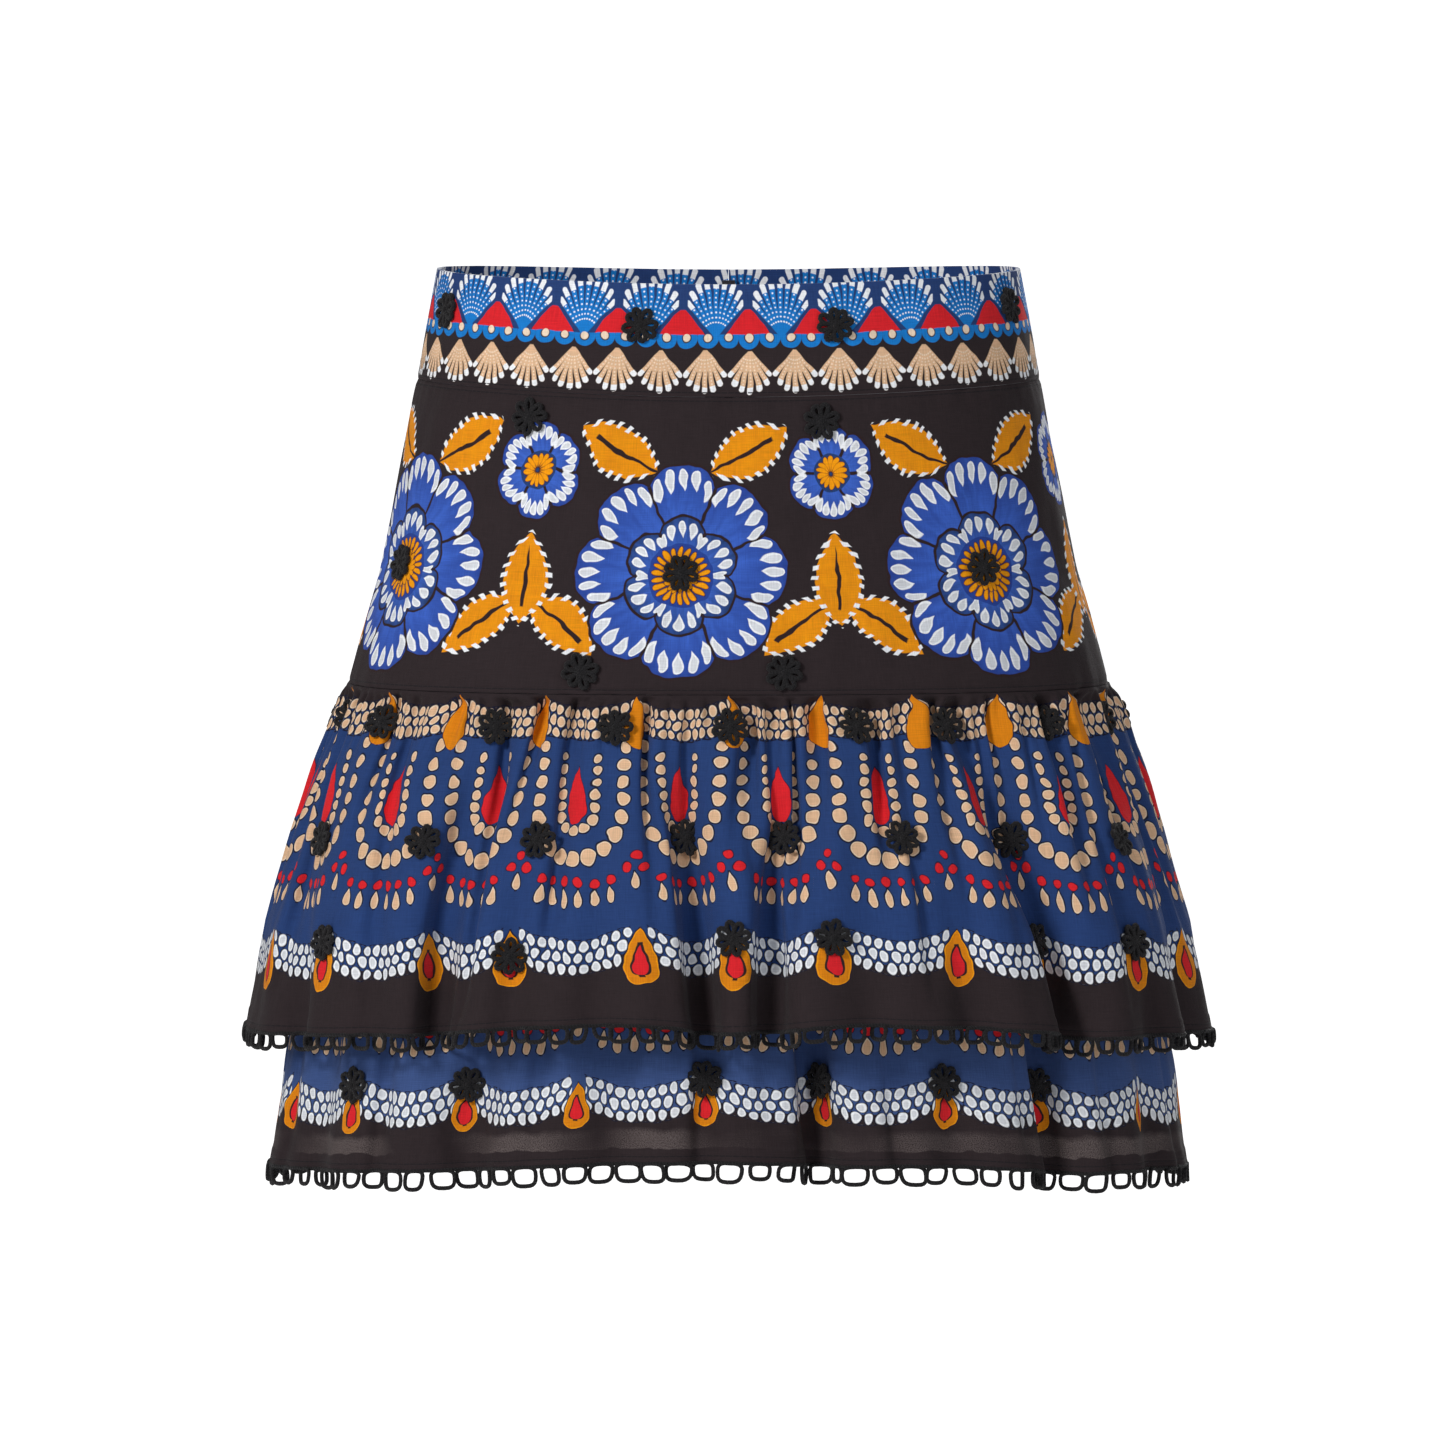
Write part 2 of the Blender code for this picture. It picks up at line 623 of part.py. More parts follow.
def build():
    for old in list(bpy.data.objects):
        bpy.data.objects.remove(old)
    skirt = bpy.data.collections.new("mini skirt")
    bpy.context.scene.collection.children.link(skirt)
    band_cloth = make_material("waistband print", band_blue, 0.85)
    hip_cloth = make_material("hip print", black_brown, 0.85)
    tier_cloth = make_material("tier print", deep_blue, 0.85)
    crochet = make_material("crochet cotton", crochet_black, 0.9)
    back_panels = []
    # side, facing, which of its values in the bow tables, part of it, that part's share of the half ring
    pieces = (
        ("front", -1, 0, "", (0.0, 1.0)),
        ("back", 1, 1, "_left", (0.0, 0.5)),
        ("back", 1, 1, "_right", (0.5, 1.0)),
    )
    for side, facing, which, half, share in pieces:
        columns = round(body_columns * (share[1] - share[0]))
        band = Panel(facing, body_rings, waist_height, yoke_seam_height, waist_run, band_wall,
                     top_bow=waist_bow[which], hem_bow=yoke_bow[which], share=share, slit=slit_width)
        cloth_solid("waistband_" + side + half, band, [(down, columns) for down in band_rows],
                    flower_places(waist_flowers, facing, share), band_cloth, skirt)
        hip = Panel(facing, body_rings, yoke_seam_height - seam_gap, hip_seam_height, hip_run, cloth_wall,
                    top_bow=yoke_bow[which], share=share)
        cloth_solid("hip_panel_" + side + half, hip, [(down, columns) for down in hip_rows],
                    flower_places(hip_flowers, facing, share), hip_cloth, skirt)
        if side == "back":
            back_panels = [band, hip]
    # side, facing, which bow, folds of the upper and lower tier
    sides = (
        ("front", -1, 0, upper_front_folds, lower_front_folds),
        ("back", 1, 1, upper_back_folds, lower_back_folds),
    )
    for side, facing, which, upper_folds, lower_folds in sides:
        upper = Panel(facing, upper_rings, hip_seam_height - seam_gap, upper_hem_height,
                      upper_loops_a_side * loop_pitch, cloth_wall, upper_folds,
                      gathers=upper_loops_a_side, hem_bow=upper_hem_bow[which])
        columns = upper_loops_a_side
        layout = ((0.0, 2 * columns), (0.10, 2 * columns), (0.33, columns), (0.66, columns), (1.0, 2 * columns))
        upper_rows = cloth_solid("upper_tier_" + side, upper, layout,
                                 flower_places(upper_flowers, facing), tier_cloth, skirt)
        trim_solid("upper_trim_" + side, upper_rows, upper_loops_a_side, crochet, skirt)
        lower = Panel(facing, lower_rings, hip_seam_height - seam_gap, lower_hem_height,
                      lower_loops_a_side * loop_pitch, cloth_wall, lower_folds,
                      hem_bow=lower_hem_bow[which])
        columns = lower_loops_a_side
        layout = ((0.0, columns), (0.30, columns), (0.68, columns), (1.0, 2 * columns))
        lower_rows = cloth_solid("lower_tier_" + side, lower, layout,
                                 flower_places(lower_flowers, facing), tier_cloth, skirt)
        trim_solid("lower_trim_" + side, lower_rows, lower_loops_a_side, crochet, skirt)
    heights, depths = middle_back(back_panels)
    tape_top = zip_slider_and_pull(heights, depths, skirt)
    zip_tape(heights, depths, tape_top, skirt)


build()
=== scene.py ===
import math

import bpy
import numpy as np
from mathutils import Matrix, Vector


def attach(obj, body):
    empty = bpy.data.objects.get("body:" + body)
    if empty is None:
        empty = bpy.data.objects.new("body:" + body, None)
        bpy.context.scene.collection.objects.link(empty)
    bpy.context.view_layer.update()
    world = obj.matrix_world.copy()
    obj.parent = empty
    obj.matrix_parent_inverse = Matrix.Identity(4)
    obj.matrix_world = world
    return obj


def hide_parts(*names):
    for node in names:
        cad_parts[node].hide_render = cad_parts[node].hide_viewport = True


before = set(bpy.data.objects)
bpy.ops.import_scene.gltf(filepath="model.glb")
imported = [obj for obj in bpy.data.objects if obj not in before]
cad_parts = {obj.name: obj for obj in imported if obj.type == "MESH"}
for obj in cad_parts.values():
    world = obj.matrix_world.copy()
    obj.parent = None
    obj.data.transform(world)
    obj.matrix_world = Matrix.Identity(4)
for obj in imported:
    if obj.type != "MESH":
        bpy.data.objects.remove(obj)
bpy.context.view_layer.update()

# Looks of a printed cotton mini skirt: waistband, hip panel and two gathered tiers as thin cloth,
# crochet flowers, loop trims, stitches and the zip. Metres in the meshes, millimetres in the prints.

body = "skirt"
mm = 0.001
denseSteps = 1500  # points along a cloth's line before it is cut into columns


# The form and the folds: the same values as the solids have

rings = {  # height, half width, front depth, back depth
    "body": ((0.000, 0.1340, 0.0880, 0.0920), (-0.024, 0.1385, 0.0915, 0.0970),
             (-0.050, 0.1430, 0.0950, 0.1020), (-0.095, 0.1515, 0.1010, 0.1110),
             (-0.140, 0.1605, 0.1070, 0.1190), (-0.190, 0.1750, 0.1140, 0.1260)),
    "upper": ((-0.190, 0.1750, 0.1140, 0.1260), (-0.205, 0.1805, 0.1185, 0.1305),
              (-0.245, 0.1950, 0.1300, 0.1420), (-0.300, 0.2120, 0.1465, 0.1575),
              (-0.350, 0.2215, 0.1565, 0.1675)),
    "lower": ((-0.190, 0.1711, 0.1101, 0.1221), (-0.215, 0.1755, 0.1125, 0.1245),
              (-0.300, 0.1935, 0.1210, 0.1330), (-0.364, 0.2038, 0.1245, 0.1375),
              (-0.413, 0.2110, 0.1350, 0.1475)),
}
folds = {  # place along the cloth, half width, turn in degrees, sideways run, start, drop of the hem
    "upperFront": ((0.110, 0.011, 36, 0.006, 0.25, 0.000), (0.190, 0.009, 26, -0.010, 0.10, 0.000),
                   (0.252, 0.015, 60, -0.022, 0.00, 0.002), (0.325, 0.009, 34, -0.010, 0.00, 0.000),
                   (0.385, 0.008, 26, -0.004, 0.00, 0.000), (0.468, 0.012, 70, 0.000, 0.05, 0.006),
                   (0.535, 0.012, 66, -0.014, 0.10, 0.005), (0.610, 0.009, 30, -0.004, 0.00, 0.000),
                   (0.680, 0.010, 36, 0.004, 0.00, 0.000), (0.782, 0.015, 70, 0.022, 0.05, 0.003),
                   (0.860, 0.009, 30, 0.012, 0.10, 0.000), (0.920, 0.010, 36, 0.010, 0.20, 0.000)),
    "upperBack": ((0.110, 0.012, 34, -0.010, 0.20, 0.000), (0.215, 0.015, 64, -0.018, 0.05, 0.003),
                  (0.330, 0.010, 34, -0.006, 0.00, 0.000), (0.420, 0.015, 68, 0.006, 0.10, 0.005),
                  (0.530, 0.012, 48, 0.004, 0.25, 0.002), (0.640, 0.015, 66, 0.012, 0.05, 0.004),
                  (0.735, 0.010, 34, 0.010, 0.00, 0.000), (0.860, 0.014, 56, 0.020, 0.15, 0.002)),
    "lowerFront": ((0.110, 0.012, 30, -0.006, 0.30, 0.000), (0.275, 0.012, 46, 0.004, 0.10, 0.001),
                   (0.400, 0.010, 26, 0.000, 0.30, 0.000), (0.570, 0.013, 50, 0.002, 0.10, 0.002),
                   (0.690, 0.010, 28, 0.004, 0.30, 0.000), (0.790, 0.013, 48, 0.010, 0.10, 0.002),
                   (0.900, 0.011, 28, 0.006, 0.30, 0.000)),
    "lowerBack": ((0.120, 0.012, 30, -0.006, 0.30, 0.000), (0.240, 0.013, 46, -0.006, 0.10, 0.001),
                  (0.390, 0.012, 40, 0.000, 0.20, 0.001), (0.520, 0.013, 48, 0.003, 0.10, 0.002),
                  (0.660, 0.011, 32, 0.004, 0.30, 0.000), (0.780, 0.013, 46, 0.008, 0.10, 0.001),
                  (0.890, 0.011, 28, 0.006, 0.30, 0.000)),
}
# Narrow folds that the solids leave out, listed one by one: place, half width, turn, sideways run, from, to
creases = {
    "upperFront": ((0.036, 0.0040, 50, 0.000, -0.20, 0.55), (0.078, 0.0050, 58, -0.004, 0.00, 0.95),
                   (0.150, 0.0045, 62, -0.006, -0.25, 0.60), (0.218, 0.0040, 52, -0.006, -0.20, 0.45),
                   (0.283, 0.0050, 60, -0.006, 0.10, 1.10), (0.306, 0.0042, 74, -0.008, -0.30, 0.62),
                   (0.349, 0.0058, 76, -0.006, -0.30, 0.92), (0.420, 0.0044, 66, -0.002, -0.25, 0.52),
                   (0.444, 0.0040, 52, 0.000, 0.25, 0.90), (0.505, 0.0050, 60, -0.002, -0.20, 0.60),
                   (0.566, 0.0046, 66, 0.004, -0.20, 0.74), (0.591, 0.0040, 60, 0.004, -0.30, 0.50),
                   (0.634, 0.0048, 70, 0.004, -0.25, 0.66), (0.655, 0.0040, 52, 0.004, 0.20, 1.00),
                   (0.706, 0.0046, 62, 0.006, -0.30, 0.48), (0.741, 0.0050, 60, 0.008, 0.00, 0.80),
                   (0.764, 0.0044, 70, 0.006, -0.25, 0.55), (0.826, 0.0056, 74, 0.010, -0.20, 0.72),
                   (0.886, 0.0046, 58, 0.008, -0.20, 0.60), (0.952, 0.0044, 56, 0.004, -0.10, 0.80),
                   (0.236, 0.0090, 58, -0.022, 0.20, 1.60), (0.456, 0.0095, 64, 0.000, 0.25, 1.60),
                   (0.523, 0.0085, 60, -0.014, 0.30, 1.60), (0.768, 0.0090, 60, 0.022, 0.25, 1.60)),
    "upperBack": ((0.040, 0.0042, 52, 0.000, -0.20, 0.60), (0.076, 0.0048, 62, -0.004, -0.20, 0.74),
                  (0.158, 0.0050, 66, -0.006, -0.25, 0.62), (0.254, 0.0044, 60, -0.004, -0.20, 0.52),
                  (0.288, 0.0052, 70, -0.006, -0.30, 0.80), (0.372, 0.0048, 66, -0.002, -0.20, 0.60),
                  (0.462, 0.0050, 68, 0.000, -0.25, 0.70), (0.496, 0.0040, 56, 0.000, -0.30, 0.44),
                  (0.571, 0.0052, 70, 0.004, -0.20, 0.66), (0.604, 0.0044, 60, 0.004, 0.10, 0.95),
                  (0.688, 0.0050, 66, 0.006, -0.25, 0.70), (0.776, 0.0048, 64, 0.006, -0.20, 0.58),
                  (0.810, 0.0044, 72, 0.006, -0.30, 0.50), (0.905, 0.0050, 60, 0.006, -0.20, 0.72),
                  (0.948, 0.0042, 56, 0.004, -0.20, 0.60),
                  (0.199, 0.0070, 36, -0.018, 0.20, 1.60), (0.404, 0.0095, 62, 0.006, 0.25, 1.60),
                  (0.624, 0.0090, 60, 0.012, 0.25, 1.60), (0.846, 0.0085, 56, 0.020, 0.30, 1.60)),
    "lowerFront": ((0.060, 0.0046, 40, 0.000, 0.40, 1.20), (0.190, 0.0050, 46, -0.002, 0.50, 1.30),
                   (0.335, 0.0046, 40, 0.000, 0.40, 1.10), (0.470, 0.0052, 48, 0.002, 0.50, 1.30),
                   (0.520, 0.0044, 38, 0.002, 0.40, 1.05), (0.640, 0.0048, 44, 0.004, 0.45, 1.30),
                   (0.745, 0.0044, 46, 0.004, 0.50, 1.15), (0.845, 0.0048, 40, 0.004, 0.40, 1.30),
                   (0.560, 0.0090, 62, 0.002, 0.20, 1.60), (0.780, 0.0090, 62, 0.010, 0.20, 1.60),
                   (0.945, 0.0044, 42, 0.002, 0.50, 1.20)),
    "lowerBack": ((0.060, 0.0046, 40, 0.000, 0.40, 1.20), (0.180, 0.0050, 44, -0.002, 0.50, 1.30),
                  (0.310, 0.0046, 42, 0.000, 0.40, 1.10), (0.455, 0.0052, 46, 0.002, 0.50, 1.30),
                  (0.590, 0.0046, 42, 0.002, 0.45, 1.20), (0.720, 0.0050, 44, 0.004, 0.50, 1.30),
                  (0.835, 0.0046, 40, 0.004, 0.40, 1.20), (0.945, 0.0044, 42, 0.002, 0.50, 1.20)),
}
squareness = 2.45
steepest = math.radians(86)
# The band's gap at the zip, widest where the slider is
zipSlit = {"width": 0.0014, "middle": 0.26, "half": 0.09, "elsewhere": 0.14}
foldShape = {"growth": 0.8, "dropWide": 1.6, "dropPower": 3}
# Factors on the creases' half widths and turns, and how far down the cloth each one fades in and out
creaseShape = {"narrow": 0.68, "turn": 1.25, "lean": 1.9, "start": 0.25, "stop": 0.35}
gatherShape = {"half": (0.0014, 0.0030), "turn": (48, 98), "reach": (0.010, 0.034), "lean": 1.5,
               "longShare": 0.32, "longWiden": 1.35, "longTurn": (78, 98), "longReach": (0.045, 0.110)}
seamFlat = {"share": 0.97, "reach": 0.0035}


def ringAt(table, height):
    table = np.array(table)[::-1]
    return [np.interp(height, table[:, 0], table[:, column]) for column in (1, 2, 3)]


def bell(x):
    return np.exp(-0.5 * x * x)


# Half of a rounded oblong: x = w sign(cos t) |cos t|^p, y = depth |sin t|^p, with p = 2 / squareness
def halfRing(halfWidth, depth, facing):
    turn = np.linspace(math.pi, 0, denseSteps) if facing < 0 else np.linspace(0, math.pi, denseSteps)
    power = 2 / squareness
    across = halfWidth * np.sign(np.cos(turn)) * np.abs(np.cos(turn)) ** power
    return np.stack([across, facing * depth * np.abs(np.sin(turn)) ** power], axis=1)


# Small gathers where a tier is sewn on: place, half width, turn in degrees and reach down the cloth,
# spaced unevenly, most of them short and some of them long
def gatherTable(cut):
    draw = np.random.default_rng(cut["seed"])
    g, count = gatherShape, cut["gathers"]
    place = (np.arange(count) + draw.uniform(0.15, 0.85, count)) / max(count, 1)
    half = draw.uniform(*g["half"], count)
    turn = draw.uniform(*g["turn"], count)
    reach = draw.uniform(*g["reach"], count)
    long = draw.random(count) < g["longShare"]
    half[long] *= g["longWiden"]
    turn[long] = draw.uniform(*g["longTurn"], long.sum())
    reach[long] = draw.uniform(*g["longReach"], long.sum())
    return np.stack([place, half, turn, reach], axis=1)


# How far a fold turns the cloth: turn * x * exp(0.5 - x*x/2), where x is the distance from its middle in half
# widths. A lean over 1 draws out its right side, so that the left side lies steep and in shade
def foldTurn(degrees, x, lean=1.0):
    side = np.where(x > 0, lean, 1.0)
    x = x / side
    return math.radians(degrees) / side * x * np.exp(0.5 - 0.5 * x * x)


# A running mean over about 100 mm of cloth that keeps both ends where they are
def softened(values):
    reach = denseSteps // 12
    padded = np.pad(values, reach, mode="reflect", reflect_type="odd")
    run = np.concatenate([[0], np.cumsum(padded)])
    return (run[2 * reach + 1:] - run[:-2 * reach - 1]) / (2 * reach + 1)


# The cloth's line on each row: the running sum of cos and sin of its turns, laid on the half ring. The solids
# have the large folds alone, and the creases and gathers leave those where they are
def clothLines(cut, downs):
    width, length = cut["width"], abs(cut["hem"] - cut["top"])
    place = np.linspace(0, 1, denseSteps)
    down = downs[:, None]
    heading = np.zeros((len(downs), denseSteps))
    drop = np.zeros_like(heading)
    for centre, half, turn, run, start, hemDrop in folds.get(cut["folds"], ()):
        x = ((place - centre) * width - run * (down - 1)) / half
        strength = np.clip((down - start) / (1 - start), 0, 1) ** foldShape["growth"]
        heading += foldTurn(turn, x) * strength
        drop += hemDrop * bell(x / foldShape["dropWide"]) * down ** foldShape["dropPower"]
    step = width / (denseSteps - 1)
    solidRun = np.cumsum(np.cos(heading), axis=1) * step
    solidRun -= solidRun[:, :1]
    atSeam = 1 - seamFlat["share"] * np.exp(-(down * length / seamFlat["reach"]) ** 2)  # flat where sewn on
    c = creaseShape
    for centre, half, turn, run, start, stop in creases.get(cut["folds"], ()):
        x = ((place - centre) * width - run * (down - 1)) / (half * c["narrow"])
        strength = np.clip((down - start) / c["start"], 0, 1) * np.clip((stop - down) / c["stop"], 0, 1)
        heading += foldTurn(turn * c["turn"], x, c["lean"]) * strength * atSeam
    for centre, half, turn, reach in gatherTable(cut):
        x = (place - centre) * width / half
        heading += foldTurn(turn, x, gatherShape["lean"]) * np.exp(-(down * length / reach) ** 2) * atSeam
    heading = np.clip(heading, -steepest, steepest)
    forward = np.cumsum(np.cos(heading), axis=1) * step
    inward = np.cumsum(np.sin(heading), axis=1) * step
    forward -= forward[:, :1]
    inward -= inward[:, :1]
    inward -= inward[:, -1:] * place
    height = cut["top"] + (cut["hem"] - cut["top"]) * downs
    bow = np.sin(math.pi * place) ** 2
    lines = []
    for r in range(len(downs)):
        half, front, back = ringAt(rings[cut["rings"]], height[r])
        ring = halfRing(half, front if cut["facing"] < 0 else back, cut["facing"])
        run = np.concatenate([[0], np.cumsum(np.linalg.norm(np.diff(ring, axis=0), axis=1))])
        at = forward[r] / forward[r, -1]
        at -= softened(at - solidRun[r] / solidRun[r, -1])
        ahead = unit(np.gradient(ring, axis=0))
        base = np.stack([np.interp(at, run / run[-1], ring[:, k]) for k in (0, 1)], axis=1)
        out = np.stack([np.interp(at, run / run[-1], side) for side in (ahead[:, 1], -ahead[:, 0])], axis=1)
        flat = base + out * (inward[r] * run[-1] / forward[r, -1])[:, None]
        level = height[r] + bow * (cut["topBow"] * (1 - downs[r]) + cut["hemBow"] * downs[r]) - drop[r]
        lines.append(np.column_stack([flat, level]))
    return place, np.array(lines)


def unit(vectors):
    return vectors / np.maximum(np.linalg.norm(vectors, axis=-1, keepdims=True), 1e-12)


# Normals of a grid: the cross product of its steps along a row and up a column
def gridNormals(points):
    return unit(np.cross(np.gradient(points, axis=1), -np.gradient(points, axis=0)))


# Points and cloth coordinates (metres along and down) of one piece, its rows closer together at both ends
def clothGrid(cut):
    even = np.linspace(0, 1, cut["rows"] + 1)
    downs = even - cut["ends"] * np.sin(2 * math.pi * even) / (2 * math.pi)
    place, lines = clothLines(cut, downs)
    low, high = cut["share"]
    s = zipSlit
    opened = np.maximum(bell((downs - s["middle"]) / s["half"]), s["elsewhere"] * (downs < 0.5))
    opened *= cut["slit"] / 2 / cut["width"]
    start = low + (opened if low > 0 else 0 * opened)
    stop = high - (opened if high < 1 else 0 * opened)
    fraction = np.linspace(0, 1, cut["columns"] + 1)
    places = start[:, None] + (stop - start)[:, None] * fraction
    points = np.array([[np.interp(places[r], place, lines[r, :, k]) for k in range(3)]
                       for r in range(len(downs))]).transpose(0, 2, 1)
    length = abs(cut["hem"] - cut["top"])
    across = places * cut["width"]
    along = np.repeat(downs[:, None] * length, len(fraction), axis=1)
    return points, np.stack([across, along], axis=2)


reliefShape = {
    "waves": 14, "waveLength": (0.016, 0.060), "slant": 0.35,
    "puckerPitch": 0.0075, "puckerHalf": (0.0012, 0.0030), "puckerReach": (0.004, 0.013), "puckerLean": 0.25,
    "seamHalf": 0.0012, "edgeDip": 0.0005, "edgeHalf": 0.0011,
    "tuckReach": 0.078, "tuckStart": 0.006, "hemDeep": 0.0062, "hemStep": 0.0007,
}


# Low relief of the cloth, in metres off the form: broad soft wrinkles, short creases under or above its
# seams, a dip at each seam and free edge, the tuck of a hidden cloth and the turned hem's edge
def clothRelief(cut, flat):
    s = reliefShape
    draw = np.random.default_rng(cut["seed"] + 50)
    across, along = flat[..., 0], flat[..., 1]
    length = abs(cut["hem"] - cut["top"])
    relief = np.zeros_like(across)
    for wave in range(s["waves"]):  # broad wrinkles, mostly upright
        waveLength = draw.uniform(*s["waveLength"])
        slant = draw.normal(0, s["slant"])
        phase = draw.uniform(0, 2 * math.pi)
        relief += np.sin(2 * math.pi * (across + slant * along) / waveLength + phase) * cut["wrinkle"] / 5
    for seam, depth in ((0.0, cut["topPuckers"]), (length, cut["hemPuckers"])):
        if depth == 0:
            continue
        count = int(cut["width"] / s["puckerPitch"])
        middles = (np.arange(count) + draw.uniform(0, 1, count)) / count * cut["width"]
        for middle in middles:
            half = draw.uniform(*s["puckerHalf"])
            reach = draw.uniform(*s["puckerReach"])
            lean = draw.normal(0, s["puckerLean"])
            x = (across - middle - lean * (along - seam)) / half
            relief -= depth * draw.uniform(0.3, 1.0) * bell(x) * np.exp(-((along - seam) / reach) ** 2)
    for seam, dip in ((0.0, cut["topDip"]), (length, cut["hemDip"])):
        relief -= dip * np.exp(-((along - seam) / s["seamHalf"]) ** 2)
    side = np.minimum(across, cut["width"] - across)
    relief -= s["edgeDip"] * np.exp(-(side / s["edgeHalf"]) ** 2)
    tucked = np.exp(-(along / s["tuckReach"]) ** 2) * (1 - np.exp(-(along / s["tuckStart"]) ** 2))
    relief -= cut["tuck"] * tucked
    relief += cut["hemRidge"] * (1 - np.clip((length - along - s["hemDeep"]) / s["hemStep"], 0, 1))
    return relief


# Quads of a grid, row by row, and the row and column of each of their corners
def gridQuads(rows, columns, closedRows=False, closedColumns=False):
    r, c = np.meshgrid(np.arange(rows - (not closedRows)), np.arange(columns - (not closedColumns)),
                       indexing="ij")
    r, c = r.ravel(), c.ravel()
    corners = np.array([[r, c], [r + 1, c], [r + 1, c + 1], [r, c + 1]])
    return (corners[:, 0] % rows * columns + corners[:, 1] % columns).T, corners.transpose(2, 0, 1)


# Puts points, quads and each corner's cloth coordinates into a new object
def putMesh(name, points, quads, cornerUv, materials, faceMaterial=None, sharp=50):
    mesh = bpy.data.meshes.new(name)
    mesh.vertices.add(len(points))
    mesh.vertices.foreach_set("co", np.asarray(points, dtype=np.float32).ravel())
    mesh.loops.add(quads.size)
    mesh.loops.foreach_set("vertex_index", quads.astype(np.int32).ravel())
    mesh.polygons.add(len(quads))
    mesh.polygons.foreach_set("loop_start", np.arange(0, quads.size, 4, dtype=np.int32))
    if faceMaterial is not None:
        mesh.polygons.foreach_set("material_index", faceMaterial.astype(np.int32))
    mesh.update(calc_edges=True)
    layer = mesh.uv_layers.new(name="cloth")
    layer.uv.foreach_set("vector", np.asarray(cornerUv, dtype=np.float32).ravel())
    mesh.shade_smooth()
    mesh.set_sharp_from_angle(angle=math.radians(sharp))
    piece = bpy.data.objects.new(name, mesh)
    for material in materials:
        mesh.materials.append(material)
    bpy.context.scene.collection.objects.link(piece)
    return piece


# A closed thin shell: the outer grid, the same grid a wall further in, and a strip that joins their borders
def clothShell(name, points, normals, flat, wall, materials):
    rows, columns = points.shape[:2]
    inner = points - normals * wall
    quads = gridQuads(rows, columns)[0]
    count = rows * columns
    index = np.arange(count).reshape(rows, columns)
    border = np.concatenate([index[0, :], index[1:, -1], index[-1, -2::-1], index[-2:0:-1, 0]])
    after = np.roll(border, -1)
    rim = np.stack([border, after, after + count, border + count], axis=1)
    allQuads = np.concatenate([quads, quads[:, ::-1] + count, rim])
    allPoints = np.concatenate([points.reshape(-1, 3), inner.reshape(-1, 3)])
    uv = np.concatenate([flat.reshape(-1, 2)] * 2)
    slots = np.concatenate([np.zeros(len(quads)), np.ones(len(quads)), np.zeros(len(rim))])
    return putMesh(name, allPoints, allQuads, uv[allQuads], materials, slots)


# Tubes round a set of paths: centre + radius * (cos a * side + sin a * up), side being the path's direction
# crossed with up. paths is (tubes, steps, 3), ups (tubes, steps, 3)
def tubes(paths, ups, radius, sides, closed):
    count, steps = paths.shape[:2]
    if closed:
        ahead = np.roll(paths, -1, axis=1) - np.roll(paths, 1, axis=1)
    else:
        ahead = np.gradient(paths, axis=1)
    ahead = unit(ahead)
    side = unit(np.cross(ahead, ups))
    up = np.cross(side, ahead)
    angle = np.arange(sides) * 2 * math.pi / sides
    radius = np.broadcast_to(radius, (count, steps))[:, :, None, None]
    ring = np.cos(angle)[:, None] * side[:, :, None] + np.sin(angle)[:, None] * up[:, :, None]
    points = paths[:, :, None] + radius * ring
    quads, corners = gridQuads(steps, sides, closedRows=closed, closedColumns=True)
    lengths = np.linalg.norm(np.diff(paths, axis=1, append=paths[:, :1]), axis=2)
    run = np.concatenate([np.zeros((count, 1)), np.cumsum(lengths, axis=1)], axis=1)
    around = np.broadcast_to(corners[..., 1] / sides, (count,) + corners.shape[:2])
    uv = np.stack([run[:, corners[..., 0]], around], axis=-1)
    shift = np.arange(count)[:, None, None] * steps * sides
    allQuads = (quads[None] + shift).reshape(-1, 4)
    if not closed:  # the two ends are closed by a fan of quads over the ring's points
        first = np.arange(1, sides - 1, 2)
        cap = np.stack([0 * first, first, first + 1, (first + 2) % sides], axis=1)
        ends = np.concatenate([cap, cap[:, ::-1] + (steps - 1) * sides])
        capQuads = (ends[None] + shift).reshape(-1, 4)
        allQuads = np.concatenate([allQuads, capQuads])
        uv = np.concatenate([uv.reshape(-1, 4, 2), np.zeros((len(capQuads), 4, 2))])
    return points.reshape(-1, 3), allQuads, uv.reshape(-1, 4, 2)


# Joins several sets of points, quads and coordinates
def joinParts(parts):
    points, quads, uvs, shift = [], [], [], 0
    for p, q, uv in parts:
        points.append(p)
        quads.append(q + shift)
        uvs.append(uv)
        shift += len(p)
    return np.concatenate(points), np.concatenate(quads), np.concatenate(uvs)


# Node helpers: a value in a node tree, put through Math nodes by + - * /

class nodeValue:
    def __init__(self, tree, socket):
        self.tree = tree
        self.socket = socket

    def __add__(self, other):
        return calc("ADD", self, other)

    def __radd__(self, other):
        return calc("ADD", other, self)

    def __sub__(self, other):
        return calc("SUBTRACT", self, other)

    def __rsub__(self, other):
        return calc("SUBTRACT", other, self)

    def __mul__(self, other):
        return calc("MULTIPLY", self, other)

    def __rmul__(self, other):
        return calc("MULTIPLY", other, self)

    def __truediv__(self, other):
        return calc("DIVIDE", self, other)

    def __rtruediv__(self, other):
        return calc("DIVIDE", other, self)


def plug(tree, socket, value):
    if isinstance(value, nodeValue):
        tree.links.new(value.socket, socket)
    elif isinstance(value, (tuple, list)) and len(value) == 3 and socket.type == "RGBA":
        socket.default_value = (*value, 1.0)
    else:
        socket.default_value = value


def calc(operation, *values, clamp=False):
    tree = next(value.tree for value in values if isinstance(value, nodeValue))
    node = tree.nodes.new("ShaderNodeMath")
    node.operation = operation
    node.use_clamp = clamp
    for socket, value in zip(node.inputs, values):
        plug(tree, socket, value)
    return nodeValue(tree, node.outputs[0])


def wrap(value, half):
    return calc("WRAP", value, half, -half if not isinstance(half, nodeValue) else half * -1)


def larger(a, b):
    return calc("MAXIMUM", a, b)


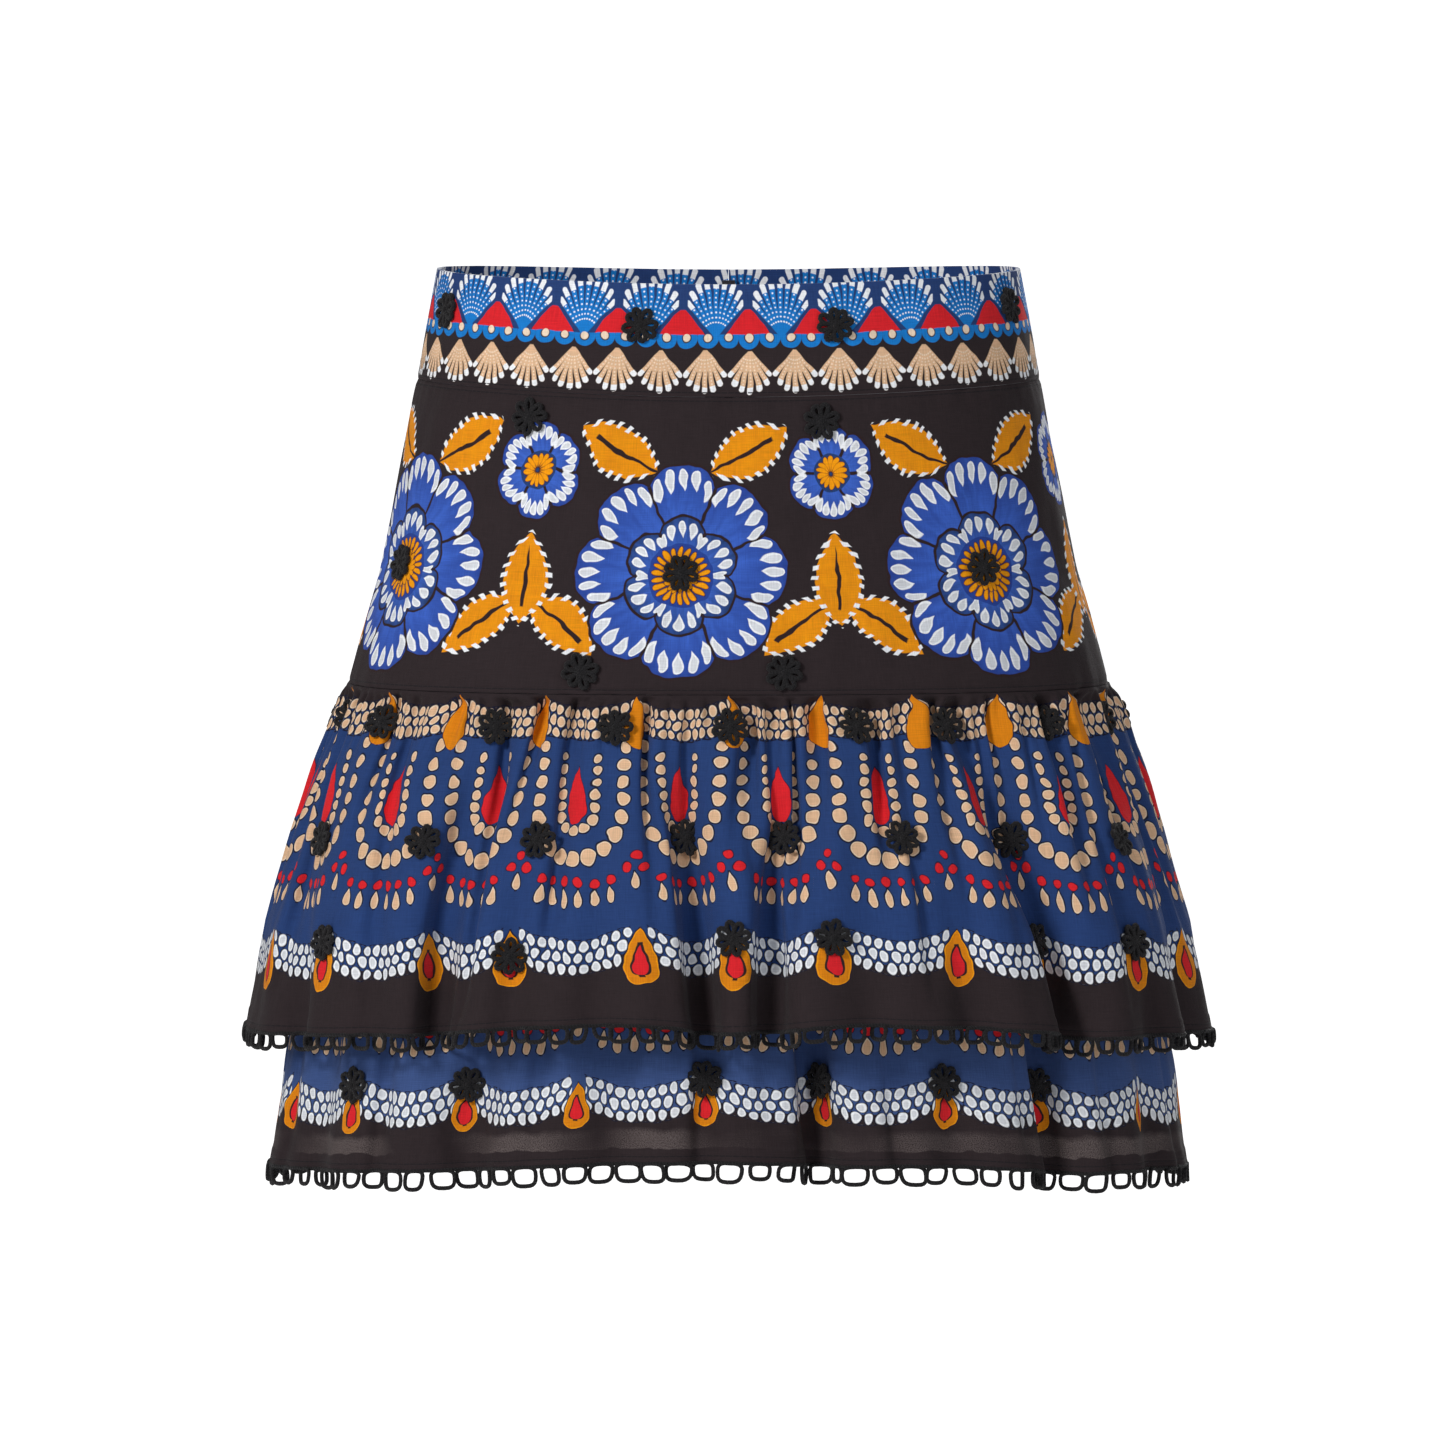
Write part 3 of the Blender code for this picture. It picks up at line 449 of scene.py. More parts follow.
def smaller(a, b):
    return calc("MINIMUM", a, b)


def sizeOf(value):
    return calc("ABSOLUTE", value)


def lengthOf(x, y):
    tree = x.tree if isinstance(x, nodeValue) else y.tree
    pair = tree.nodes.new("ShaderNodeCombineXYZ")
    plug(tree, pair.inputs[0], x)
    plug(tree, pair.inputs[1], y)
    node = tree.nodes.new("ShaderNodeVectorMath")
    node.operation = "LENGTH"
    tree.links.new(pair.outputs[0], node.inputs[0])
    return nodeValue(tree, node.outputs["Value"])


# 1 inside a shape and 0 outside it, from its signed distance in mm
def inside(distance, soft=0.30):
    return calc("MULTIPLY_ADD", distance, -1 / soft, 0.5, clamp=True)


def mixed(mask, under, over, blend="MIX"):
    tree = mask.tree if isinstance(mask, nodeValue) else under.tree
    node = tree.nodes.new("ShaderNodeMix")
    node.data_type = "RGBA"
    node.blend_type = blend
    plug(tree, node.inputs[0], mask)
    plug(tree, node.inputs[6], under)
    plug(tree, node.inputs[7], over)
    return nodeValue(tree, node.outputs[2])


kinds = {"value": "NodeSocketFloat", "colour": "NodeSocketColor", "vector": "NodeSocketVector"}


def newGroup(name, inputs, outputs):
    group = bpy.data.node_groups.new(name, "ShaderNodeTree")
    for label, kind, start in inputs:
        socket = group.interface.new_socket(name=label, in_out="INPUT", socket_type=kinds[kind])
        socket.default_value = (*start, 1.0) if kind == "colour" else start
    for label, kind in outputs:
        group.interface.new_socket(name=label, in_out="OUTPUT", socket_type=kinds[kind])
    entry = group.nodes.new("NodeGroupInput")
    group.nodes.new("NodeGroupOutput")
    return group, {label: nodeValue(group, entry.outputs[label]) for label, kind, start in inputs}


def finishGroup(group, **results):
    outlet = next(node for node in group.nodes if node.bl_idname == "NodeGroupOutput")
    for label, value in results.items():
        plug(group, outlet.inputs[label], value)


def useGroup(tree, group, **values):
    node = tree.nodes.new("ShaderNodeGroup")
    node.node_tree = group
    for label, value in values.items():
        plug(tree, node.inputs[label], value)
    return {socket.name: nodeValue(tree, socket) for socket in node.outputs}


def noiseOf(tree, vector, scale, detail=2.0, kind="Fac"):
    node = tree.nodes.new("ShaderNodeTexNoise")
    node.noise_dimensions = "3D"
    node.inputs["Scale"].default_value = scale
    node.inputs["Detail"].default_value = detail
    tree.links.new(vector.socket, node.inputs["Vector"])
    return nodeValue(tree, node.outputs[kind])


def vectorMath(operation, a, b):
    tree = a.tree
    node = tree.nodes.new("ShaderNodeVectorMath")
    node.operation = operation
    plug(tree, node.inputs[0], a)
    if operation == "SCALE":
        node.inputs["Scale"].default_value = b
    else:
        plug(tree, node.inputs[1], b)
    return nodeValue(tree, node.outputs["Vector"])


def separated(vector):
    node = vector.tree.nodes.new("ShaderNodeSeparateXYZ")
    vector.tree.links.new(vector.socket, node.inputs[0])
    return [nodeValue(vector.tree, socket) for socket in node.outputs]


# sRGB bytes as linear colour
def dye(red, green, blue):
    shares = [c / 255 for c in (red, green, blue)]
    return tuple(((c + 0.055) / 1.055) ** 2.4 if c > 0.04 else c / 12.92 for c in shares)


dyes = {
    "ground": dye(43, 34, 37), "navy": dye(35, 62, 116), "cobalt": dye(62, 104, 205),
    "deepCobalt": dye(38, 66, 150), "palm": dye(18, 122, 205),
    "red": dye(220, 32, 42), "mustard": dye(220, 131, 10), "gold": dye(244, 158, 4),
    "tan": dye(224, 184, 148), "cream": dye(240, 218, 194), "white": dye(240, 243, 248),
    "silver": dye(216, 220, 227), "line": dye(20, 22, 44), "rimDark": dye(44, 30, 32),
    # Painted light: cloth made paler as if lit through from behind, then its wrong side and its sewing thread
    "backlitNavy": dye(159, 188, 255), "backlitGround": dye(136, 124, 122), "wrongSide": dye(150, 150, 156),
    "thread": dye(30, 26, 30),
    "yarnDark": dye(8, 8, 10), "yarnPale": dye(41, 39, 43),
    "tapeDark": dye(20, 20, 23), "tapePale": dye(38, 38, 42),
    "metalDark": dye(58, 58, 62), "metalPale": dye(96, 95, 98),
}
dropFullness = 2.6  # makes t sqrt(1 - t) a drop of half width 1


# Hand-drawn print: cloth coordinates in mm, moved a little by noise so that no shape is quite regular
def makeWobble():
    group, given = newGroup("hand drawn wobble", [("Cloth", "vector", (0, 0, 0)), ("Amount", "value", 1.0)],
                            [("U", "value"), ("V", "value")])
    flat = vectorMath("SCALE", given["Cloth"], 1000.0)
    broad = vectorMath("SUBTRACT", noiseOf(group, flat, 0.085, 1.0, "Color"), (0.5, 0.5, 0.5))
    fine = vectorMath("SUBTRACT", noiseOf(group, flat, 0.21, 0.0, "Color"), (0.5, 0.5, 0.5))
    broadX, broadY, spare = separated(broad)
    fineX, fineY, spare = separated(fine)
    u, v, spare = separated(flat)
    broadMove, fineMove = 3.6, 1.5
    u = u + given["Amount"] * (broadX * broadMove + fineX * fineMove)
    v = v + given["Amount"] * (broadY * broadMove + fineY * fineMove)
    finishGroup(group, U=u, V=v)
    return group


weaveLook = {"slubs": (2.6, 0.10), "patches": 0.045, "slubTone": 0.42, "threadTone": 0.05, "patchTone": 0.18,
             "threadHigh": 0.5, "slubHigh": 1.2}


# Plain weave: height is sin(u) * sin(v) at the thread pitch; slubs are noise drawn out along each thread
def makeWeave():
    w = weaveLook
    group, given = newGroup("cotton weave", [("Cloth", "vector", (0, 0, 0)), ("Pitch", "value", 0.42)],
                            [("Tone", "value"), ("Height", "value")])
    flat = vectorMath("SCALE", given["Cloth"], 1000.0)
    u, v, spare = separated(flat)
    turn = 2 * math.pi / given["Pitch"]
    threads = calc("SINE", u * turn) * calc("SINE", v * turn)
    warp = noiseOf(group, vectorMath("MULTIPLY", flat, (*w["slubs"], 1.0)), 1.0, 1.0)
    weft = noiseOf(group, vectorMath("MULTIPLY", flat, (*w["slubs"][::-1], 1.0)), 1.0, 1.0)
    patch = noiseOf(group, flat, w["patches"], 2.0)
    slubs = warp + weft - 1.0
    tone = 1.0 + slubs * w["slubTone"] + threads * w["threadTone"] + (patch - 0.5) * w["patchTone"]
    finishGroup(group, Tone=tone, Height=threads * w["threadHigh"] + slubs * w["slubHigh"])
    return group


# A printed shape with a rim and an outline, from its signed distance
def makeInk():
    group, given = newGroup("printed shape", [
        ("Under", "colour", (0, 0, 0)), ("Distance", "value", 0.0), ("Fill", "colour", (1, 1, 1)),
        ("Rim", "colour", (1, 1, 1)), ("Line", "colour", (0, 0, 0)), ("RimWidth", "value", 0.5),
        ("LineWidth", "value", 0.5)], [("Colour", "colour")])
    distance = given["Distance"]
    colour = mixed(inside(distance - given["LineWidth"]), given["Under"], given["Line"])
    colour = mixed(inside(distance), colour, given["Rim"])
    colour = mixed(inside(distance + given["RimWidth"]), colour, given["Fill"])
    finishGroup(group, Colour=colour)
    return group


# Rows of oval beads, every other row moved by half a pitch: len(x / w, y / h) - 1, in mm of the width
def makeBeadRows():
    group, given = newGroup("bead rows", [
        ("X", "value", 0.0), ("Y", "value", 0.0), ("Pitch", "value", 5.0), ("Row", "value", 5.0),
        ("Rows", "value", 3.0), ("Width", "value", 3.6), ("Height", "value", 5.0)], [("Distance", "value")])
    y = given["Y"]
    row = calc("FLOOR", y / given["Row"])
    x = wrap(given["X"] + row * given["Pitch"] * 0.5, given["Pitch"] * 0.5)
    inRow = y - (row + 0.5) * given["Row"]
    oval = lengthOf(x / (given["Width"] * 0.5), inRow / (given["Height"] * 0.5)) - 1.0
    span = given["Row"] * given["Rows"]
    outside = sizeOf(y - span * 0.5) - span * 0.5
    finishGroup(group, Distance=larger(oval * given["Width"] * 0.5, outside))
    return group


# A row of round beads along a line
def makeStrand():
    group, given = newGroup("bead strand", [
        ("Along", "value", 0.0), ("Across", "value", 0.0), ("Pitch", "value", 6.0), ("Radius", "value", 2.4)],
        [("Distance", "value")])
    along = wrap(given["Along"], given["Pitch"] * 0.5)
    finishGroup(group, Distance=lengthOf(along, given["Across"]) - given["Radius"])
    return group


# A drop with its tip at y = 0: half width 2.6 t sqrt(1 - t), t being the share of its length
def makeDrop():
    group, given = newGroup("drop", [
        ("X", "value", 0.0), ("Y", "value", 0.0), ("Length", "value", 20.0), ("HalfWidth", "value", 5.0)],
        [("Distance", "value")])
    t = calc("DIVIDE", given["Y"], given["Length"], clamp=True)
    profile = t * calc("SQRT", 1.0 - t) * dropFullness
    sides = sizeOf(given["X"]) - profile * given["HalfWidth"]
    half = given["Length"] * 0.5
    ends = sizeOf(given["Y"] - half) - half
    finishGroup(group, Distance=larger(sides, ends))
    return group


# Hanging garland: straight legs and a half round, as distances along and across it
def makeGarland():
    group, given = newGroup("garland line", [
        ("X", "value", 0.0), ("Y", "value", 0.0), ("Radius", "value", 20.0)],
        [("Along", "value"), ("Across", "value")])
    x = sizeOf(given["X"])
    below = larger(given["Y"], 0.0)
    across = lengthOf(x, below) - given["Radius"]
    along = calc("ARCTAN2", x, below) * given["Radius"] - smaller(given["Y"], 0.0)
    finishGroup(group, Along=along, Across=across)
    return group


fanShape = {"foot": 0.5, "growth": 0.6, "dotsFrom": 0.19}


# A fan of rays from its base: the angle is snapped to the nearest ray, and each ray is a bar with a round end
def makeFan():
    group, given = newGroup("fan of rays", [
        ("X", "value", 0.0), ("Y", "value", 0.0), ("Step", "value", 0.19), ("Side", "value", 4.0),
        ("Length", "value", 22.0), ("Shorten", "value", 0.0), ("HalfWidth", "value", 1.4),
        ("Tip", "value", 5.0), ("DotPitch", "value", 2.2), ("DotRadius", "value", 0.5)],
        [("Rays", "value"), ("Tips", "value"), ("Dots", "value")])
    angle = calc("ARCTAN2", given["X"], given["Y"])
    reach = lengthOf(given["X"], given["Y"])
    ray = smaller(larger(calc("ROUND", angle / given["Step"]), given["Side"] * -1), given["Side"])
    local = angle - ray * given["Step"]
    along = reach * calc("COSINE", local)
    across = reach * calc("SINE", local)
    end = given["Length"] - given["Shorten"] * ray * ray
    beyond = larger(along - end + given["HalfWidth"], 0.0)
    grown = along / given["Length"] * fanShape["growth"] + fanShape["foot"]
    rays = lengthOf(across, beyond) - given["HalfWidth"] * grown
    tips = larger(rays, end - given["Tip"] - along)
    dots = lengthOf(across, wrap(along, given["DotPitch"] * 0.5)) - given["DotRadius"]
    dots = larger(dots, along - end + given["Tip"])
    dots = larger(dots, given["Length"] * fanShape["dotsFrom"] - along)
    finishGroup(group, Rays=rays, Tips=tips, Dots=dots)
    return group


petalShape = {"gap": 0.75, "inset": 1.4}


# A ring of round petals: rim = radius * (1 - dent * t^3), t being the share of the way to the gap between
# two; drops stand along the rim with their tips inwards
def makePetals():
    group, given = newGroup("ring of petals", [
        ("Reach", "value", 0.0), ("Angle", "value", 0.0), ("Radius", "value", 40.0), ("Petals", "value", 8.0),
        ("Dent", "value", 0.16), ("Drops", "value", 40.0), ("DropLength", "value", 10.0),
        ("DropHalf", "value", 2.1), ("Inner", "value", 8.0)],
        [("Body", "value"), ("Gaps", "value"), ("Drops", "value"), ("Shade", "value")])
    reach = given["Reach"]
    half = math.pi / given["Petals"]
    t = sizeOf(wrap(given["Angle"], half)) / half
    rim = given["Radius"] * (1.0 - given["Dent"] * t * t * t)
    gapLine = (1.0 - t) * half * reach - petalShape["gap"]
    gaps = larger(gapLine, given["Inner"] - reach)
    dropStep = math.pi / given["Drops"]
    across = sizeOf(wrap(given["Angle"], dropStep)) * reach
    fromTip = reach - (rim - petalShape["inset"] - given["DropLength"])
    s = calc("DIVIDE", fromTip, given["DropLength"], clamp=True)
    profile = s * calc("SQRT", 1.0 - s) * dropFullness * given["DropHalf"]
    drops = larger(across - profile, sizeOf(fromTip - given["DropLength"] * 0.5) - given["DropLength"] * 0.5)
    finishGroup(group, Body=reach - rim, Gaps=gaps, Drops=drops, Shade=reach / rim)
    return group


leafShape = {"bend": 1.5, "vein": 0.55, "veinGrowth": 0.45, "veinEnd": 0.6,
             "dashIn": 0.2, "dashLong": 1.5, "dashSlant": 0.3, "dashPitch": 2.3, "dashHalf": 0.95}


# A leaf along y: half width * (1 - (2y / length)^2), a vein down its middle and stitches of white on its edge
def makeLeaf():
    s = leafShape
    group, given = newGroup("leaf", [
        ("X", "value", 0.0), ("Y", "value", 0.0), ("Length", "value", 40.0), ("HalfWidth", "value", 10.0)],
        [("Body", "value"), ("Vein", "value"), ("Dashes", "value")])
    t = given["Y"] / (given["Length"] * 0.5)
    x = given["X"] + t * t * s["bend"]
    edge = sizeOf(x) - given["HalfWidth"] * (1.0 - t * t)
    bodyLine = larger(edge, sizeOf(given["Y"]) - given["Length"] * 0.5)
    vein = larger(sizeOf(x) - s["vein"] - (t + 1.0) * s["veinGrowth"], (t - s["veinEnd"]) * 10.0)
    vein = larger(vein, bodyLine)
    aside = wrap(given["Y"] - x * s["dashSlant"], s["dashPitch"])
    dashes = larger(sizeOf(edge - s["dashIn"]) - s["dashLong"], sizeOf(aside) - s["dashHalf"])
    dashes = larger(dashes, sizeOf(given["Y"]) - given["Length"] * 0.5)
    finishGroup(group, Body=bodyLine, Vein=vein, Dashes=dashes)
    return group


stitchShape = {"half": 0.36, "thread": 0.26, "rise": (0.1, 0.7), "groove": (0.75, 0.9)}


# A row of stitches on the cloth at one distance down it, as a mask, with the thread's rise and the groove
# that it lies in
def makeStitches():
    s = stitchShape
    group, given = newGroup("stitch row", [
        ("Cloth", "vector", (0, 0, 0)), ("At", "value", 0.0), ("Pitch", "value", 2.9)],
        [("Mask", "value"), ("Height", "value")])
    u, v, spare = separated(vectorMath("SCALE", given["Cloth"], 1000.0))
    along = larger(sizeOf(wrap(u, given["Pitch"] * 0.5)) - given["Pitch"] * s["half"], 0.0)
    across = lengthOf(along, v - given["At"])
    rise, groove = (inside(across - radius, soft) for radius, soft in (s["rise"], s["groove"]))
    finishGroup(group, Mask=inside(across - s["thread"], 0.2), Height=rise - groove)
    return group


parts = {
    "wobble": makeWobble(), "weave": makeWeave(), "ink": makeInk(), "rows": makeBeadRows(),
    "strand": makeStrand(), "drop": makeDrop(), "garland": makeGarland(), "fan": makeFan(),
    "petals": makePetals(), "leaf": makeLeaf(), "stitches": makeStitches(),
}


# Lays a dye, by its name, over a colour where a mask is 1
def paint(under, mask, name):
    return mixed(mask, under, dyes[name])


# Prints a shape with a rim and an outline, all by the names of their dyes, from its signed distance
def ink(tree, under, distance, fill, rim, line, rimWidth, lineWidth):
    return useGroup(tree, parts["ink"], Under=under, Distance=distance, Fill=dyes[fill], Rim=dyes[rim],
                    Line=dyes[line], RimWidth=rimWidth, LineWidth=lineWidth)["Colour"]


def dropAt(tree, x, y, dropLength, half):
    return useGroup(tree, parts["drop"], X=x, Y=y, Length=dropLength, HalfWidth=half)["Distance"]


def beadRowsAt(tree, x, y, pitch, row, wide, high):
    return useGroup(tree, parts["rows"], X=x, Y=y, Pitch=pitch, Row=row, Rows=3.0, Width=wide,
                    Height=high)["Distance"]


# x and y turned by an angle in degrees about a centre
def turned(x, y, centreX, centreY, degrees):
    c, s = math.cos(math.radians(degrees)), math.sin(math.radians(degrees))
    x = x - centreX
    y = y - centreY
    return x * c + y * s, y * c - x * s


def polar(angle, reach):
    node = angle.tree.nodes.new("ShaderNodeCombineXYZ")
    plug(angle.tree, node.inputs[0], angle)
    plug(angle.tree, node.inputs[1], reach)
    return nodeValue(angle.tree, node.outputs[0])


bandPrint = {
    "wobble": 0.45, "pitch": 30.0, "phase": 1.5, "base": 23.2,
    "palm": {"Step": 0.176, "Side": 4.0, "Length": 26.5, "Shorten": 0.36, "HalfWidth": 1.22, "Tip": 4.6,
             "DotPitch": 2.2, "DotRadius": 0.4},
    "archHigh": 11.8, "archHalf": 10.2, "archFoot": 0.6, "archPower": 0.74, "archClear": 2.2,
    "webDown": 2.6, "braidTop": 0.4,
    "scallop": 9.375, "scallopLine": 25.0, "scallopUp": 1.2, "scallopRadius": 3.5, "scallopHalf": 1.25,
    "scallopTop": 2.6, "bead": 1.75,
    "fringePitch": 20.0, "fringeBase": 29.4, "fringePhase": 3.0,
    "tassel": {"Step": 0.225, "Side": 3.0, "Length": 19.2, "Shorten": 0.46, "HalfWidth": 1.2, "Tip": 2.9,
               "DotPitch": 1.5, "DotRadius": 0.36},
    "tasselSlope": 0.52, "tasselHalf": 0.3, "tasselDeep": 9.5,
}


# Waistband print: dotted palms over red arches, a scalloped braid, and a fringe of little fans
def makeBandPrint():
    group, given = newGroup("waistband print", [("Cloth", "vector", (0, 0, 0))], [("Colour", "colour")])
    p = bandPrint
    flat = useGroup(group, parts["wobble"], Cloth=given["Cloth"], Amount=p["wobble"])
    u, v = flat["U"], flat["V"]
    x = wrap(u - p["phase"], p["pitch"] / 2)
    arch = p["pitch"] / 2 - sizeOf(x)
    fan = useGroup(group, parts["fan"], X=x, Y=p["base"] - v, **p["palm"])
    up = calc("DIVIDE", p["base"] - p["archFoot"] - v, p["archHigh"], clamp=True)
    archLine = arch - p["archHalf"] * calc("POWER", 1.0 - up, p["archPower"])
    archLine = larger(archLine, v - p["base"] + p["archFoot"])
    archTop = larger(archLine, p["base"] - p["archHigh"] - v)
    clear = inside(p["archClear"] - archLine)
    colour = paint(dyes["navy"], inside(fan["Rays"]) * clear, "palm")
    colour = paint(colour, inside(fan["Dots"]) * clear, "white")
    colour = paint(colour, inside(fan["Tips"]) * clear, "white")
    webs = inside(p["base"] - p["webDown"] - v) * inside(p["archClear"] - fan["Rays"], 0.5)
    colour = paint(colour, webs, "ground")
    colour = paint(colour, inside(archTop), "red")
    colour = paint(colour, inside(p["base"] + p["braidTop"] - v), "ground")
    fromBead = lengthOf(wrap(u, p["scallop"] / 2), v - p["scallopLine"] + p["scallopUp"])
    scallop = sizeOf(fromBead - p["scallopRadius"]) - p["scallopHalf"]
    scallop = larger(scallop, p["scallopLine"] - p["scallopTop"] - v)
    colour = paint(colour, inside(scallop), "palm")
    colour = paint(colour, inside(fromBead - p["bead"]), "cream")
    x = wrap(u + p["fringePhase"], p["fringePitch"] / 2)
    hang = v - p["fringeBase"]
    fringe = useGroup(group, parts["fan"], X=x, Y=hang, **p["tassel"])
    web = larger(sizeOf(x) - hang * p["tasselSlope"] - p["tasselHalf"], hang - p["tasselDeep"])
    tassel = larger(smaller(fringe["Rays"], web), p["fringeBase"] - v)
    colour = paint(colour, inside(tassel), "tan")
    colour = paint(colour, inside(fringe["Dots"]) * inside(tassel), "cream")
    colour = paint(colour, inside(larger(fringe["Tips"], tassel)), "white")
    finishGroup(group, Colour=colour)
    return group


hipPrint = {
    "wobble": 1.0, "period": 148.0, "phase": 202.5, "streaks": 160.0,
    # across from the small bloom's middle, down, turn, length and half width of each leaf
    "leaves": ((20.0, 107.0, -52, 42.0, 10.0), (0.0, 86.0, 0, 46.0, 11.0), (41.0, 26.0, 118, 44.0, 11.5)),
    "centre": 6.0, "outline": 1.3, "dropLine": 0.1, "dropRim": 0.8,
    # Brush strokes of the petals: scale of their noise, how the shade grows outwards, and shares of the two
    "strokes": (9.0, 0.05, 1.0), "shadeMask": (1.5, -0.55), "strokeShare": 0.9, "shadeShare": 0.9,
    "less": 0.40,
}
# The blooms: place in the period, rings of petals from the outermost (height of the middle, deep dye, shape),
# eye (radius, dye), and rings of stamens (start, number, length, half width)
blooms = (
    {"at": 0.0, "eye": (15.5, "deepCobalt"), "stamens": ((6.4, 22, 7.6, 1.15), (1.0, 16, 7.6, 1.25)),
     "rings": ((82.0, "deepCobalt", {"Radius": 50.0, "Petals": 8.0, "Dent": 0.15, "Drops": 40.0,
                                     "DropLength": 10.5, "DropHalf": 2.35}),
               (84.0, "navy", {"Radius": 27.0, "Petals": 6.0, "Dent": 0.20, "Drops": 24.0,
                               "DropLength": 7.6, "DropHalf": 2.1}))},
    {"at": 0.5, "eye": (9.0, "navy"), "stamens": ((1.2, 14, 6.6, 1.2),),
     "rings": ((36.0, "deepCobalt", {"Radius": 22.0, "Petals": 6.0, "Dent": 0.15, "Drops": 30.0,
                                     "DropLength": 6.4, "DropHalf": 1.7}),)},
)


# Hip print: open blooms with drops round their petals, smaller blooms between them, and mustard leaves.
# The design is this part's own
def makeHipPrint():
    group, given = newGroup("hip print", [("Cloth", "vector", (0, 0, 0))], [("Colour", "colour")])
    p = hipPrint
    flat = useGroup(group, parts["wobble"], Cloth=given["Cloth"], Amount=p["wobble"])
    u, v = flat["U"], flat["V"]
    half = p["period"] / 2
    mirror = half - sizeOf(wrap(u - p["phase"], half))
    leafTone = mixed(noiseOf(group, given["Cloth"], p["streaks"], 2.0), dyes["mustard"], dyes["gold"])
    colour = dyes["ground"]
    for across, down, degrees, leafLength, leafHalf in p["leaves"]:
        x, y = turned(mirror, v, across, down, degrees)
        leaf = useGroup(group, parts["leaf"], X=x, Y=y, Length=leafLength, HalfWidth=leafHalf)
        colour = mixed(inside(leaf["Body"]), colour, leafTone)
        colour = paint(colour, inside(leaf["Vein"]), "rimDark")
        colour = paint(colour, inside(leaf["Dashes"]), "white")
    for bloom in blooms:
        x = wrap(u - p["phase"] + bloom["at"] * p["period"], half)
        for down, deep, shape in bloom["rings"]:
            y = v - down
            reach = lengthOf(x, y)
            angle = calc("ARCTAN2", x, y)
            ring = useGroup(group, parts["petals"], Reach=reach, Angle=angle, Inner=p["centre"], **shape)
            shade = calc("MULTIPLY_ADD", ring["Shade"], *p["shadeMask"], clamp=True) * p["shadeShare"]
            strokes = noiseOf(group, vectorMath("MULTIPLY", polar(angle, reach), p["strokes"]), 1.0, 1.0)
            depth = calc("MULTIPLY_ADD", strokes, p["strokeShare"], shade - p["less"], clamp=True)
            colour = paint(colour, inside(ring["Body"] - p["outline"]), "rimDark")
            colour = mixed(inside(ring["Body"]), colour, mixed(depth, dyes["cobalt"], dyes[deep]))
            colour = paint(colour, inside(ring["Gaps"]) * inside(ring["Body"]), "rimDark")
            colour = paint(colour, inside(ring["Drops"] - p["dropLine"]), "white")
            colour = paint(colour, inside(ring["Drops"] + p["dropRim"]), "silver")
        eye, eyeDye = bloom["eye"]
        colour = paint(colour, inside(reach - eye), eyeDye)
        for start, spokes, long, wide in bloom["stamens"]:
            aside = wrap(angle, math.pi / spokes) * reach
            stamen = dropAt(group, aside, reach - start, long, wide)
            colour = ink(group, colour, stamen, "gold", "mustard", "rimDark", 0.3, 0.35)
    finishGroup(group, Colour=colour)
    return group


tierPrint = {
    "wobble": 1.05, "pitch": 62.0, "groundTop": 4.5,
    "swagTop": 7.0, "swagRise": 5.0, "swagBeads": 13, "swagRow": 5.0, "swagBead": (3.7, 4.6),
    "garlandDown": 55.0, "beadGrowth": 0.022, "garlandFade": 0.8,
    "garlands": ((10.5, 2.5, 5.9, 28.0), (24.0, 3.3, 8.5, 22.0)),  # radius, bead, spacing, top
    "dots": 90.0, "dotCount": 8, "dotDrop": 13.0, "dot": 2.15, "peak": 13.4, "peakDot": 2.1,
    "fringe": (8.0, 1.95), "fringeDown": 3.2, "fringeGap": 7.7, "peakFringe": 5.4,
    "redDrop": (35.0, 27.0, 6.2), "mustardDrop": (0.8, 25.0, 7.0),  # top, length, half width
    "ovals": 118.0, "ovalDrop": 9.0, "ovalCount": 12, "ovalRow": 5.4, "oval": (3.8, 5.0), "ovalGap": 3.4,
    "borderDown": 12.0, "backlitDown": 20.0,
    "tearMiddle": 125.5, "tearLength": 27.0, "tearHalf": 7.6, "core": (8.4, 13.8, 3.2),  # the core likewise
}


